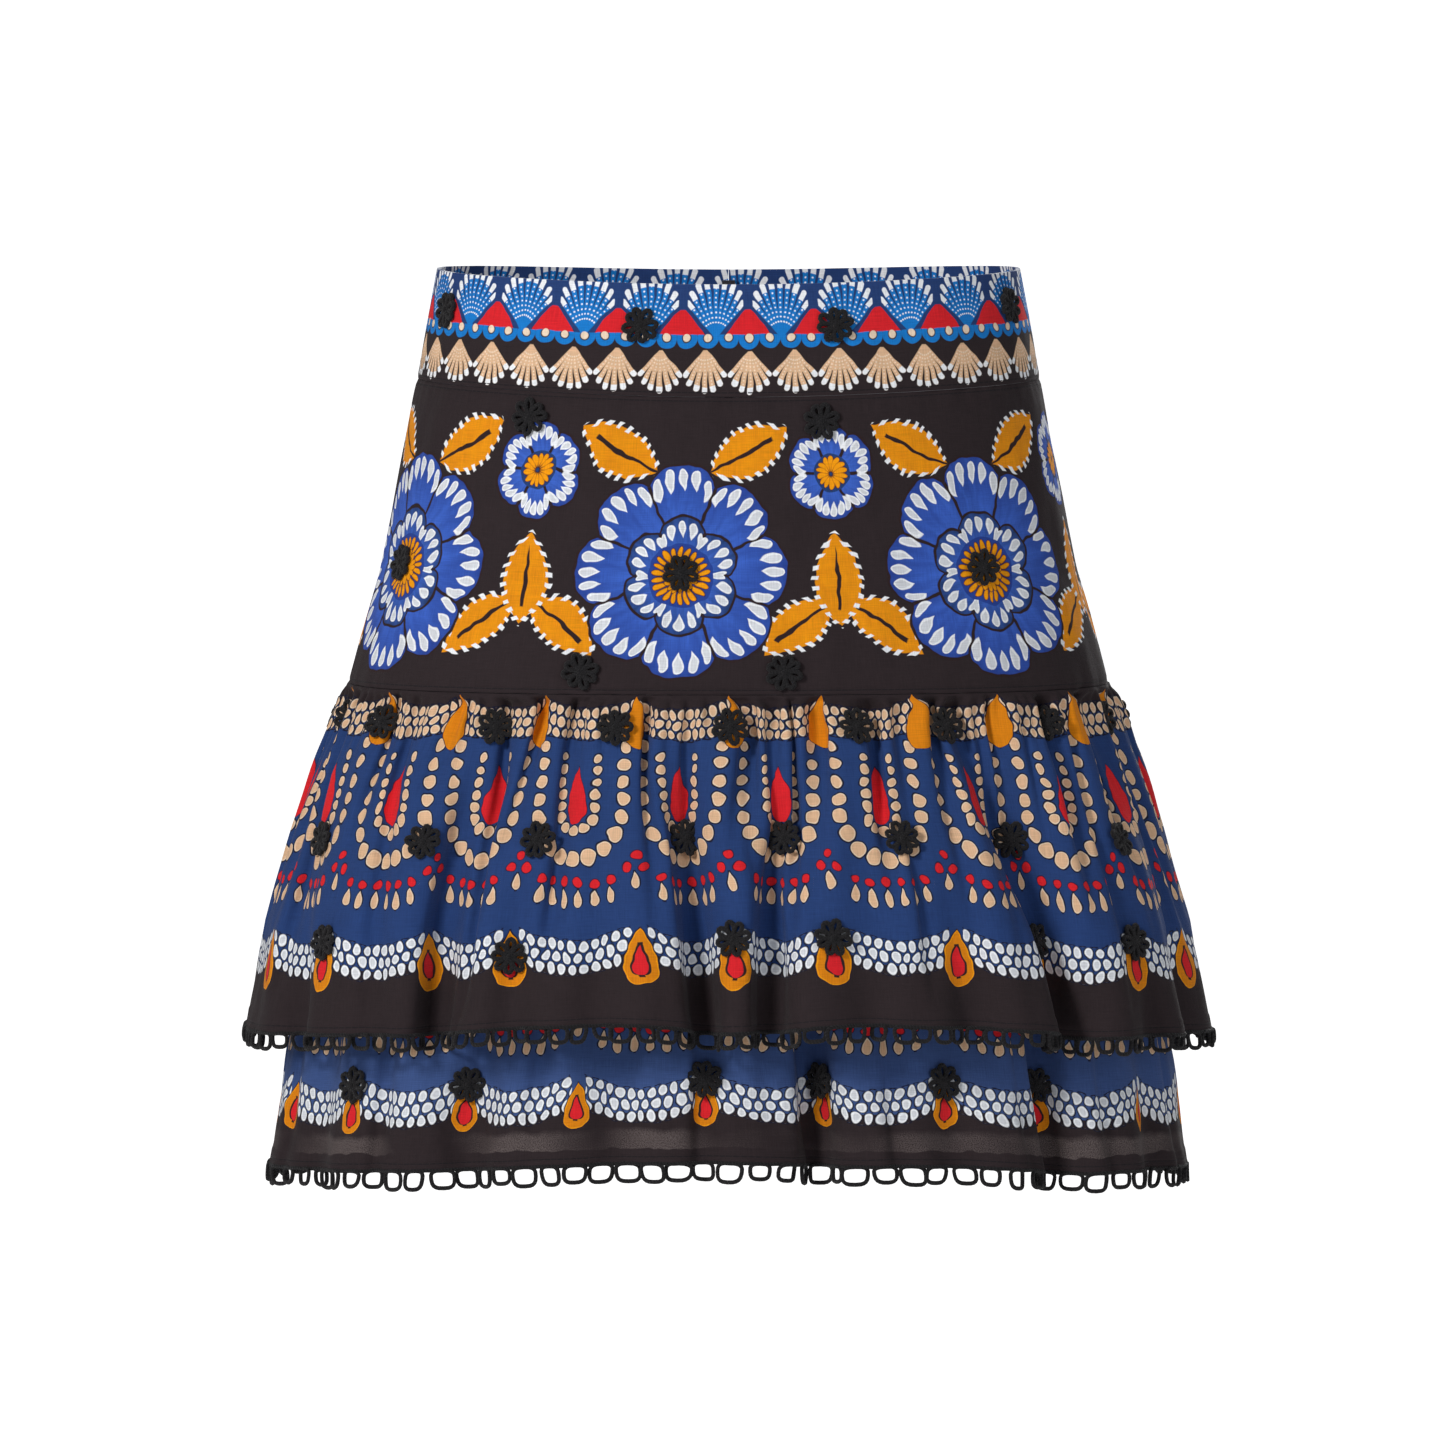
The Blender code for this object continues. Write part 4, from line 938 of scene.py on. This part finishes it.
# Tier print: swags of small beads between drops, hanging garlands round a red drop, a dotted red line with
# a fringe of drops, plain blue, then three rows of white ovals with a drop at each joint, on a dark hem
def makeTierPrint():
    group, given = newGroup("tier print", [
        ("Cloth", "vector", (0, 0, 0)), ("Shift", "value", 0.0), ("Side", "value", 0.0),
        ("Hem", "value", 154.0), ("Tear", "value", 1.0), ("Lift", "value", 0.0)],
        [("Colour", "colour"), ("Sheer", "value")])
    p = tierPrint
    flat = useGroup(group, parts["wobble"], Cloth=given["Cloth"], Amount=p["wobble"])
    u = flat["U"] - given["Side"]
    v = flat["V"] - given["Shift"]
    half = p["pitch"] / 2
    x = wrap(u, half)
    joint = wrap(u - half, half)
    away = sizeOf(x) / half
    square = away * away
    swag = v - p["swagTop"] + square * p["swagRise"]
    # Painted light: the navy is mixed a share towards a pale blue, as if the cloth were lit through from
    # behind
    navy = paint(dyes["navy"], given["Lift"], "backlitNavy")
    colour = mixed(inside(p["groundTop"] - swag), dyes["ground"], navy)
    # Tan beads: swags, two garlands, and the fringe under the red dots
    beads = beadRowsAt(group, u, swag, p["pitch"] / p["swagBeads"], p["swagRow"], *p["swagBead"])
    for radius, bead, spacing, top in p["garlands"]:
        drop = v - p["garlandDown"]
        line = useGroup(group, parts["garland"], X=x, Y=drop, Radius=radius)
        grown = calc("MULTIPLY_ADD", drop, p["beadGrowth"], bead)
        strand = useGroup(group, parts["strand"], **line, Pitch=spacing, Radius=grown)
        beads = smaller(beads, strand["Distance"] + larger(top - v, 0.0) * p["garlandFade"])
    dotStep = p["pitch"] / p["dotCount"]
    dotX = wrap(u - dotStep / 2, dotStep / 2)
    dotAway = sizeOf(x - dotX) / half
    dotSquare = dotAway * dotAway
    fromDots = v - p["dots"]
    dotLine = fromDots + dotSquare * dotSquare * p["dotDrop"]
    hanging = dotX + inside(sizeOf(joint) - p["fringeGap"], 0.05) * 50.0  # none beside the peak
    beads = smaller(beads, dropAt(group, hanging, dotLine - p["fringeDown"], *p["fringe"]))
    beads = smaller(beads, dropAt(group, joint, fromDots + p["peakFringe"], *p["fringe"]))
    colour = ink(group, colour, beads, "tan", "cream", "line", 0.4, 0.7)
    # Red: the drop inside each garland and the dotted line with its peaks
    top, dropLength, dropHalf = p["redDrop"]
    red = dropAt(group, x, v - top, dropLength, dropHalf)
    red = smaller(red, lengthOf(dotX, dotLine) - p["dot"])
    red = smaller(red, lengthOf(joint, fromDots + p["peak"]) - p["peakDot"])
    colour = ink(group, colour, red, "red", "red", "line", 0.3, 0.4)
    # Mustard drops between the swags
    top, dropLength, dropHalf = p["mustardDrop"]
    mustard = dropAt(group, joint, v - top, dropLength, dropHalf)
    colour = ink(group, colour, mustard, "mustard", "mustard", "line", 0.3, 0.5)
    # Border: white ovals, dark below them, and a drop at each joint
    border = v - p["ovals"] + square * p["ovalDrop"]
    colour = paint(colour, inside(p["borderDown"] - border), "ground")
    ovals = beadRowsAt(group, u, border, p["pitch"] / p["ovalCount"], p["ovalRow"], *p["oval"])
    ovals = ovals + inside(sizeOf(joint) - p["ovalGap"], 0.05) * 10.0
    colour = ink(group, colour, ovals, "silver", "white", "line", 0.7, 0.5)
    tearX = joint / given["Tear"]
    tearY = (v - p["tearMiddle"]) / given["Tear"] + p["tearLength"] / 2
    tear = dropAt(group, tearX, tearY, p["tearLength"], p["tearHalf"])
    colour = ink(group, colour, tear, "mustard", "gold", "line", 0.6, 0.6)
    top, dropLength, dropHalf = p["core"]
    core = dropAt(group, tearX, tearY - top, dropLength, dropHalf)
    colour = ink(group, colour, core, "red", "red", "rimDark", 0.3, 1.1)
    # The part of the dark hem band that may get painted light, as if light came through the thin cloth from
    # behind
    backlitArea = inside(p["ovals"] + p["backlitDown"] - v, 3.0) * inside(v - given["Hem"], 0.5)
    finishGroup(group, Colour=colour, Sheer=backlitArea)
    return group


prints = {"band": makeBandPrint(), "hip": makeHipPrint(), "tier": makeTierPrint()}
print("prints made")


surfaces = {
    "cotton": {"Roughness": 0.82, "Specular IOR Level": 0.18, "Sheen Weight": 0.04, "Sheen Roughness": 0.5},
    "yarn": {"Roughness": 0.78, "Specular IOR Level": 0.25, "Sheen Weight": 0.06},
    "tape": {"Roughness": 0.85},
    "metal": {"Metallic": 0.9},
    "floor": {"Base Color": (0.80, 0.80, 0.80, 1), "Roughness": 0.9, "Emission Color": (1, 1, 1, 1)},
}


def newMaterial(name, surface):
    material = bpy.data.materials.new(name)
    material.use_nodes = True
    shader = material.node_tree.nodes["Principled BSDF"]
    for label, value in surfaces[surface].items():
        shader.inputs[label].default_value = value
    return material, material.node_tree, shader


def uvOf(tree):
    node = tree.nodes.new("ShaderNodeUVMap")
    node.uv_map = "cloth"
    return nodeValue(tree, node.outputs[0])


# Links a colour and a bump, whose depth is in metres, to a material's shader
def finishMaterial(tree, shader, colour, height, depth, strength=1.0):
    tree.links.new(colour.socket, shader.inputs["Base Color"])
    bump = tree.nodes.new("ShaderNodeBump")
    bump.inputs["Strength"].default_value = strength
    bump.inputs["Distance"].default_value = depth
    plug(tree, bump.inputs["Height"], height)
    tree.links.new(bump.outputs[0], shader.inputs["Normal"])


# patches, patchMask, specks and speckMask shape the painted light in the thin hem band
cottonLook = {
    "haze": 0.32, "patches": 0.018, "patchMask": (4.2, -1.45), "specks": 2.2, "speckMask": (3.4, -1.1),
    "tones": (0.5, 1.5), "crumple": 0.16, "crumpleHigh": 1.5, "weaveHigh": 0.16, "stitchHigh": 0.8,
    "bump": (0.0006, 0.55),
}
yarnLook = {"twist": 1.5, "fuzz": 2.5, "twistTone": 0.25, "paleShare": 0.8, "twistHigh": 0.6,
            "bump": (0.0003, 0.8)}


# Printed cotton: the print, the weave's tone and bump, and a soft crumple. The wrong side is paler, and
# painted light, as if from behind, lightens patches of the thin places of the print
def printedCotton(name, which, wrongSide=False, backlightPaint=0.0, seams=(), **values):
    material, tree, shader = newMaterial(name, "cotton")
    look = cottonLook
    cloth = uvOf(tree)
    flat = vectorMath("SCALE", cloth, 1000.0)
    result = useGroup(tree, prints[which], Cloth=cloth, **values)
    colour = result["Colour"]
    # Painted light: patches of the dark hem band lightened towards grey brown, as if lit through from behind
    if backlightPaint:
        patches = noiseOf(tree, flat, look["patches"], 1.0)
        patches = calc("MULTIPLY_ADD", patches, *look["patchMask"], clamp=True)
        specks = noiseOf(tree, flat, look["specks"], 1.0)
        patches = patches * calc("MULTIPLY_ADD", specks, *look["speckMask"], clamp=True)
        colour = paint(colour, result["Sheer"] * patches * backlightPaint, "backlitGround")
    if wrongSide:
        colour = paint(colour, look["haze"], "wrongSide")
    weave = useGroup(tree, parts["weave"], Cloth=cloth)
    low, high = look["tones"]
    tone = smaller(larger(weave["Tone"], low), high)
    grey = tree.nodes.new("ShaderNodeCombineColor")
    for k in range(3):
        plug(tree, grey.inputs[k], tone)
    colour = mixed(1.0, colour, nodeValue(tree, grey.outputs[0]), "MULTIPLY")
    crumple = noiseOf(tree, flat, look["crumple"], 3.0)
    height = weave["Height"] * look["weaveHigh"] + crumple * look["crumpleHigh"]
    for seam in seams:
        row = useGroup(tree, parts["stitches"], Cloth=cloth, At=seam)
        height = height + row["Height"] * look["stitchHigh"]
        colour = paint(colour, row["Mask"], "thread")
    finishMaterial(tree, shader, colour, height, *look["bump"])
    return material


# Black cotton yarn: two twisted plies, from the tube's own coordinates
def crochetCotton():
    material, tree, shader = newMaterial("crochet cotton", "yarn")
    look = yarnLook
    cloth = uvOf(tree)
    run, turn, spare = separated(cloth)
    twist = calc("SINE", (run * 1000.0 / look["twist"] + turn * 2.0) * (2 * math.pi))
    fuzz = noiseOf(tree, vectorMath("SCALE", cloth, 1000.0), look["fuzz"], 2.0)
    tone = calc("MULTIPLY_ADD", twist, look["twistTone"], fuzz)
    pale = calc("MULTIPLY_ADD", tone, look["paleShare"], 0.0, clamp=True)
    colour = mixed(pale, dyes["yarnDark"], dyes["yarnPale"])
    finishMaterial(tree, shader, colour, twist * look["twistHigh"] + fuzz, *look["bump"])
    return material


cottons = {
    "band": printedCotton("waistband print", "band", seams=(48.2,)),
    "hip": printedCotton("hip print", "hip", seams=(1.8, 137.6)),
    "hipInside": printedCotton("hip print inside", "hip", True),
    "upper": printedCotton("upper tier print", "tier", seams=(155.6,), Shift=0.0, Side=10.0),
    "upperInside": printedCotton("upper tier print inside", "tier", True, Shift=0.0, Side=10.0),
    # The lower tier gets painted light: a paler navy, and lighter patches in its dark hem band
    "lower": printedCotton("lower tier print", "tier", backlightPaint=0.46, seams=(218.2,), Shift=67.9,
                           Side=4.0, Hem=146.3, Tear=0.78, Lift=0.08),
    "lowerInside": printedCotton("lower tier print inside", "tier", True, Shift=67.9, Side=4.0, Hem=146.3,
                                 Tear=0.78),
}
yarn = crochetCotton()
print("materials made")


# Crochet flowers: sizes, and places down and along each piece, mirrored on the back
flowers = {
    "count": 8, "reach": 7.3 * mm, "petalHalf": 1.65 * mm, "cord": 1.12 * mm, "steps": 12, "sides": 6,
    "foot": 2.0 * mm, "tip": 1.6 * mm, "turnNoise": 0.06, "reachSpread": (0.92, 1.08),
    "halfSpread": (0.85, 1.15), "footWide": 0.75, "tipWider": 0.35, "arch": 0.5,
    "rings": ((1.9 * mm, 0.95 * mm, 1.6 * mm), (0.62 * mm, 0.85 * mm, 2.4 * mm)),  # radius, cord, height
    "lying": 6.5 * mm, "lyingSteps": 7, "raised": 0.7, "sunk": 0.3 * mm,
    "band": ((0.34, (0.115,)), (0.38, (0.392, 0.630)), (0.30, (0.885,))),
    "hip": ((0.085, (0.268, 0.606)), (0.590, (0.115, 0.450, 0.775)), (0.925, (0.355, 0.554))),
    "upper": ((0.100, (0.035, 0.145, 0.270, 0.395, 0.495, 0.616, 0.710, 0.820, 0.935)),
              (0.440, (0.110, 0.225, 0.335, 0.460, 0.550, 0.645, 0.760, 0.865)),
              (0.735, (0.147, 0.500, 0.588, 0.765, 0.853)), (0.790, (0.323,))),
    "lower": ((0.827, (0.162, 0.266, 0.473, 0.577, 0.681, 0.784)),),
}


# One flower about its own middle: looped petals, a ring and a knot, x across, y down, z off the cloth.
# A petal is a loop of cord: foot + reach * (1 - cos t) / 2 along its axis, and half width * sin t across it,
# a little wider at its tip
def flowerParts(draw):
    f = flowers
    t = np.arange(f["steps"]) / f["steps"] * 2 * math.pi
    spread = 2 * math.pi / f["count"]
    start = draw.uniform(0, spread)
    turns = start + np.arange(f["count"]) * spread + draw.normal(0, f["turnNoise"], f["count"])
    reach = f["reach"] * draw.uniform(*f["reachSpread"], f["count"])[:, None]
    out = (1 - np.cos(t)) / 2
    along = f["foot"] + (reach - f["tip"]) * out
    half = f["petalHalf"] * draw.uniform(*f["halfSpread"], f["count"])[:, None]
    across = half * np.sin(t) * (f["footWide"] + f["tipWider"] * out)
    lift = f["cord"] * (1.0 + f["arch"] * np.sin(t / 2) ** 2) + 0 * along
    c, s = np.cos(turns)[:, None], np.sin(turns)[:, None]
    petals = np.stack([along * c - across * s, along * s + across * c, lift], axis=2)
    up = np.broadcast_to([0.0, 0.0, 1.0], petals.shape)
    made = [tubes(petals, up, f["cord"], f["sides"], True)]
    for radius, cord, high in f["rings"]:
        ring = np.stack([radius * np.cos(t), radius * np.sin(t), high + 0 * t], axis=1)[None]
        made.append(tubes(ring, np.broadcast_to([0.0, 0.0, 1.0], ring.shape), cord, f["sides"], True))
    return joinParts(made)


# Reads points on a piece: (metres along, metres down, metres off the cloth) through the grid's own cells
def onCloth(made, across, down, off):
    points, normals, flat = made["points"], made["normals"], made["flat"]
    rows, columns = points.shape[:2]
    wide = flat[0, -1, 0] - flat[0, 0, 0]
    c = np.clip((across - flat[0, 0, 0]) / wide * (columns - 1), 0, columns - 1.001)
    r = np.clip(np.interp(down, flat[:, 0, 1], np.arange(rows)), 0, rows - 1.001)
    c0, r0 = c.astype(int), r.astype(int)
    fc, fr = (c - c0)[:, None], (r - r0)[:, None]

    def read(grid):
        upper = grid[r0, c0] * (1 - fc) + grid[r0, c0 + 1] * fc
        lower = grid[r0 + 1, c0] * (1 - fc) + grid[r0 + 1, c0 + 1] * fc
        return upper * (1 - fr) + lower * fr

    return read(points) + unit(read(normals)) * off[:, None]


# Lays a stiff flower on the cloth: in the plane of the cloth around it, on the outermost folds there
def laidOn(made, across, down, points):
    f = flowers
    spread = np.linspace(-f["lying"], f["lying"], f["lyingSteps"])
    x, y = (grid.ravel() for grid in np.meshgrid(spread, spread))
    around = onCloth(made, across + x, down + y, 0 * x)
    right = unit(around[x > 0].mean(axis=0) - around[x < 0].mean(axis=0))
    low = around[y > 0].mean(axis=0) - around[y < 0].mean(axis=0)
    low = unit(low - right * (low @ right))
    out = np.cross(low, right)
    middle = around.mean(axis=0)
    middle = middle + out * (f["raised"] * ((around - middle) @ out).max() - f["sunk"])
    return middle + points[:, :1] * right + points[:, 1:2] * low + points[:, 2:] * out


def sewFlowers(name, made):
    cut = made["cut"]
    draw = np.random.default_rng(cut["seed"])
    wide, high = cut["width"], abs(cut["hem"] - cut["top"])
    sets = []
    for down, row in flowers[cut["table"]]:
        for spot in row:
            at = 1 - spot if cut["facing"] > 0 else spot
            if not cut["share"][0] < at < cut["share"][1]:
                continue
            points, quads, uv = flowerParts(draw)
            points = laidOn(made, at * wide, down * high, points)
            sets.append((points, quads, uv))
    points, quads, uv = joinParts(sets)
    piece = putMesh(name, points, outward(points, quads), uv, [yarn], sharp=80)
    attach(piece, body)
    return piece


# Quads turned round if together they enclose a negative volume
def outward(points, quads):
    a, b, c, d = (points[quads[:, k]] for k in range(4))
    volume = np.einsum("ij,ij->i", a, np.cross(b, c) + np.cross(c, d)).sum()
    return quads if volume > 0 else quads[:, ::-1]


# Loop trim: a header cord along the hem and a row of uneven loops of cord under it. A loop is a rounded
# oblong: sign(cos) |cos|^power
trim = {
    "cord": 1.0 * mm, "steps": 20, "sides": 6, "jitter": 0.4 * mm, "halves": [0.34, 0.41, 0.44, 0.46, 0.47],
    "drops": (0.86, 1.08), "power": 0.66, "lean": 0.10, "twist": 0.26, "sway": 0.05, "narrower": 0.06,
    "below": 0.6 * mm, "behind": 0.3 * mm,
    "header": 0.95 * mm, "headerBelow": 0.7 * mm, "headerWave": 0.15 * mm, "headerPitch": 2.1 * mm,
    "headerSteps": 8, "headerEnd": 0.2 * mm,
}


def sewTrim(name, node, made, count, hang, seed):
    draw = np.random.default_rng(seed)
    t = trim
    hem, out = made["points"][-1], made["normals"][-1].copy()
    out[:, 2] = 0
    out = unit(out)
    across = made["flat"][-1, :, 0]
    wide = across[-1]

    def at(along, off, drop):  # along the hem, off it and below it
        point = np.stack([np.interp(along, across, hem[:, k]) for k in range(3)], axis=-1)
        normal = unit(np.stack([np.interp(along, across, out[:, k]) for k in range(3)], axis=-1))
        point = point + normal * off[..., None]
        point[..., 2] -= drop
        return point, normal

    middle = (np.arange(count) + 0.5) * wide / count + draw.normal(0, t["jitter"], count)
    half = wide / count * draw.choice(t["halves"], count)[:, None]
    drop = hang * draw.uniform(*t["drops"], count)[:, None] / 2
    angle = np.arange(t["steps"]) / t["steps"] * 2 * math.pi
    x = np.sign(np.cos(angle)) * np.abs(np.cos(angle)) ** t["power"]
    y = np.sign(np.sin(angle)) * np.abs(np.sin(angle)) ** t["power"]
    lean = draw.normal(0, t["lean"], count)[:, None]
    twist = draw.normal(0, t["twist"], count)[:, None]
    below = drop * (1 - y) + t["below"]
    along = middle[:, None] + half * x * (1 - t["narrower"] * (1 - y)) + lean * below
    off = -t["behind"] + twist * half * x + draw.normal(0, t["sway"], count)[:, None] * below
    loops, normal = at(along.ravel(), off.ravel(), below.ravel())
    loops, normal = loops.reshape(count, -1, 3), normal.reshape(count, -1, 3)
    loopParts = tubes(loops, normal, t["cord"], t["sides"], True)
    steps = count * t["headerSteps"]
    run = np.linspace(t["headerEnd"], wide - t["headerEnd"], steps)
    wave = t["headerWave"] * np.sin(run / t["headerPitch"])
    cord, normal = at(run, -t["behind"] + 0 * run, t["headerBelow"] + wave)
    up = np.broadcast_to([0.0, 0.0, 1.0], (1, steps, 3))
    headerParts = tubes(cord[None], up, t["header"], t["sides"], False)
    points, quads, uv = joinParts([(p, outward(p, q), w) for p, q, w in (loopParts, headerParts)])
    piece = putMesh(name, points, quads, uv, [yarn], sharp=80)
    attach(piece, body)
    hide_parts(node)
    return piece


# The cut of each sheet: its form and folds, heights of its top and hem, flat width, grid, relief, wall,
# cotton and how it is held. "share" is the part of the width that it has, and "slit" its gap along the zip
cutDefaults = {
    "folds": "", "gathers": 0, "share": (0.0, 1.0), "slit": 0.0, "wrinkle": 0.0004, "tuck": 0.0,
    "topPuckers": 0.0, "hemPuckers": 0.0, "topDip": 0.0, "hemDip": 0.0, "hemRidge": 0.0,
    "topBow": 0.0, "hemBow": 0.0, "ends": 0.0, "hangsFrom": "",
}
bandCut = dict(cutDefaults, rings="body", top=0.0, hem=-0.050, width=0.375, rows=24, topBow=-0.004,
               hemBow=-0.005, slit=zipSlit["width"], wrinkle=0.00012, hemDip=0.0003, wall=0.0020,
               cotton=("band", "band"), slot="waistband_print", table="band", held="folded")
hipCut = dict(cutDefaults, rings="body", top=-0.0503, hem=-0.190, width=0.450, rows=52, topBow=-0.005,
              wrinkle=0.00035, topPuckers=0.0006, hemPuckers=0.0006, topDip=0.0005, hemDip=0.0006,
              wall=0.0007, cotton=("hip", "hipInside"), slot="hip_print", table="hip", held="hung",
              hangsFrom="waistband_front")
tierCut = dict(cutDefaults, top=-0.1903, rows=60, wrinkle=0.0007, topDip=0.0006, hemRidge=0.0003,
               wall=0.0007, slot="tier_print", held="gathered", hangsFrom="hip_panel_front")
upperCut = dict(tierCut, rings="upper", hem=-0.3485, width=0.702, gathers=72, ends=0.75,
                cotton=("upper", "upperInside"), table="upper")
lowerCut = dict(tierCut, rings="lower", hem=-0.4110, width=0.598, gathers=22, ends=0.6, tuck=0.0080,
                cotton=("lower", "lowerInside"), table="lower")
pieceCuts = {
    "waistband_front": dict(bandCut, facing=-1, columns=200, seed=1),
    "waistband_back_left": dict(bandCut, facing=1, columns=100, seed=2, share=(0.0, 0.5)),
    "waistband_back_right": dict(bandCut, facing=1, columns=100, seed=3, share=(0.5, 1.0)),
    "hip_panel_front": dict(hipCut, facing=-1, columns=240, seed=4),
    "hip_panel_back_left": dict(hipCut, facing=1, columns=120, seed=5, share=(0.0, 0.5)),
    "hip_panel_back_right": dict(hipCut, facing=1, columns=120, seed=6, share=(0.5, 1.0)),
    "upper_tier_front": dict(upperCut, facing=-1, columns=760, seed=7, folds="upperFront", hemBow=0.012),
    "upper_tier_back": dict(upperCut, facing=1, columns=760, seed=8, folds="upperBack", hemBow=0.004),
    "lower_tier_front": dict(lowerCut, facing=-1, columns=400, seed=9, folds="lowerFront", hemBow=0.009),
    "lower_tier_back": dict(lowerCut, facing=1, columns=400, seed=10, folds="lowerBack", hemBow=0.003),
}
trims = {  # each tier's trim, its number of loops and how far they hang
    "upper_tier_front": ("upper_trim_front", 74, 0.0070), "upper_tier_back": ("upper_trim_back", 74, 0.0070),
    "lower_tier_front": ("lower_trim_front", 50, 0.0082), "lower_tier_back": ("lower_trim_back", 50, 0.0082),
}


def sewPiece(node, cut):
    points, flat = clothGrid(cut)
    normals = gridNormals(points)
    for column, share in ((0, cut["share"][0]), (-1, cut["share"][1])):  # side seams and centre back
        normals[:, column, 1 if share in (0.0, 1.0) else 0] = 0
    normals[[0, -1], :, 2] = 0
    normals = unit(normals)
    points = points + normals * clothRelief(cut, flat)[..., None]
    made = {"points": points, "normals": normals, "flat": flat, "cut": cut}
    cottonPair = [cottons[key] for key in cut["cotton"]]
    piece = clothShell(node + "_cloth", points, normals, flat, cut["wall"], cottonPair)
    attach(piece, body)
    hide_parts(node)
    share = cut["share"][1] - cut["share"][0]
    others = [sewFlowers(node + "_flowers", made)]
    if node in trims:
        trimNode, count, hang = trims[node]
        others.append(sewTrim(trimNode + "_loops", trimNode, made, count, hang, cut["seed"] + 100))
    cut["width"] * share
    abs(cut["hem"] - cut["top"])
    print("sewn", node)


for node, cut in pieceCuts.items():
    sewPiece(node, cut)


# Zip: the solids stay, in a woven tape and dark lacquered metal
def tapeMaterial():
    material, tree, shader = newMaterial("zip tape", "tape")
    coordinates = tree.nodes.new("ShaderNodeTexCoord")
    x, y, z = separated(nodeValue(tree, coordinates.outputs["Object"]))
    ribs = calc("SINE", (z + x * 0.5) * (2 * math.pi / 0.0011))
    colour = mixed(calc("MULTIPLY_ADD", ribs, 0.5, 0.5), dyes["tapeDark"], dyes["tapePale"])
    finishMaterial(tree, shader, colour, ribs, 0.0002)
    return material


def metalMaterial():
    material, tree, shader = newMaterial("zip metal", "metal")
    coordinates = tree.nodes.new("ShaderNodeTexCoord")
    where = nodeValue(tree, coordinates.outputs["Object"])
    scratches = noiseOf(tree, vectorMath("MULTIPLY", where, (2600.0, 2600.0, 260.0)), 1.0, 3.0)
    colour = mixed(scratches, dyes["metalDark"], dyes["metalPale"])
    tree.links.new(colour.socket, shader.inputs["Base Color"])
    tree.links.new(calc("MULTIPLY_ADD", scratches, 0.25, 0.22).socket, shader.inputs["Roughness"])
    return material


def dress(node, material):
    piece = bpy.data.objects[node]
    if len(piece.data.materials) == 0:
        piece.data.materials.append(material)
    for slot in piece.material_slots:
        slot.material = material


dress("zip_tape", tapeMaterial())
zipMetal = metalMaterial()
dress("zip_slider", zipMetal)
dress("zip_pull", zipMetal)
print("zip dressed")


studio = {
    "floor": -0.66, "floorSize": 60.0, "floorGlow": 1.0, "world": 0.19,
    "target": (-0.0028, 0.0, -0.209), "elevation": math.radians(3.2), "distance": 12.0,
    "lens": 650, "sensor": 36, "clip": 200,
}
lamps = {  # place, aim, power in watts, width and height, colour
    "key": ((-1.6, -2.0, 0.9), (0, 0, -0.22), 46, (0.6, 0.6), (1.0, 0.985, 0.965)),
    "fill": ((1.7, -2.1, 0.4), (0, 0, -0.22), 13, (1.4, 1.4), (0.96, 0.98, 1.0)),
    "top": ((0.2, 0.9, 1.9), (0, 0, -0.2), 9, (1.4, 1.0), (1.0, 1.0, 1.0)),
    "back": ((0.7, 2.6, 0.7), (0, 0, -0.22), 42, (1.2, 1.2), (1.0, 1.0, 1.0)),
}


# The floor glows and the world is bright for the camera alone, so that both show as white
def makeFloor():
    half, height = studio["floorSize"], studio["floor"]
    corners = np.array([(-half, -half, height), (half, -half, height), (half, half, height),
                        (-half, half, height)])
    material, tree, shader = newMaterial("studio floor", "floor")
    seen = nodeValue(tree, tree.nodes.new("ShaderNodeLightPath").outputs["Is Camera Ray"])
    plug(tree, shader.inputs["Emission Strength"], seen * studio["floorGlow"])
    floor = putMesh("studio_floor", corners, np.array([[0, 1, 2, 3]]), corners[:, :2], [material])


def makeWorld():
    world = bpy.data.worlds.new("studio")
    bpy.context.scene.world = world
    world.use_nodes = True
    tree = world.node_tree
    background = tree.nodes["Background"]
    seen = nodeValue(tree, tree.nodes.new("ShaderNodeLightPath").outputs["Is Camera Ray"])
    strength = calc("MULTIPLY_ADD", seen, 1.0 - studio["world"], studio["world"])
    background.inputs["Color"].default_value = (1.0, 1.0, 1.0, 1)
    plug(tree, background.inputs["Strength"], strength)


def makeLight(name, where, aim, power, wide, colour):
    light = bpy.data.lights.new(name, "AREA")
    light.energy = power
    light.shape = "RECTANGLE"
    light.size, light.size_y = wide
    light.color = colour
    lamp = bpy.data.objects.new(name, light)
    bpy.context.scene.collection.objects.link(lamp)
    lamp.location = where
    lamp.rotation_euler = (Vector(aim) - Vector(where)).to_track_quat("-Z", "Y").to_euler()


def makeCamera():
    camera = bpy.data.cameras.new("camera")
    view = bpy.data.objects.new("camera", camera)
    bpy.context.scene.collection.objects.link(view)
    back = Vector((0.0, -math.cos(studio["elevation"]), math.sin(studio["elevation"])))
    view.location = Vector(studio["target"]) + back * studio["distance"]
    view.rotation_euler = (-back).to_track_quat("-Z", "Y").to_euler()
    camera.lens = studio["lens"]
    camera.sensor_width = studio["sensor"]
    camera.clip_end = studio["clip"]
    bpy.context.scene.camera = view


makeFloor()
makeWorld()
for name, values in lamps.items():
    makeLight(name, *values)
makeCamera()
bpy.context.scene.view_settings.view_transform = "Standard"
print("studio made")
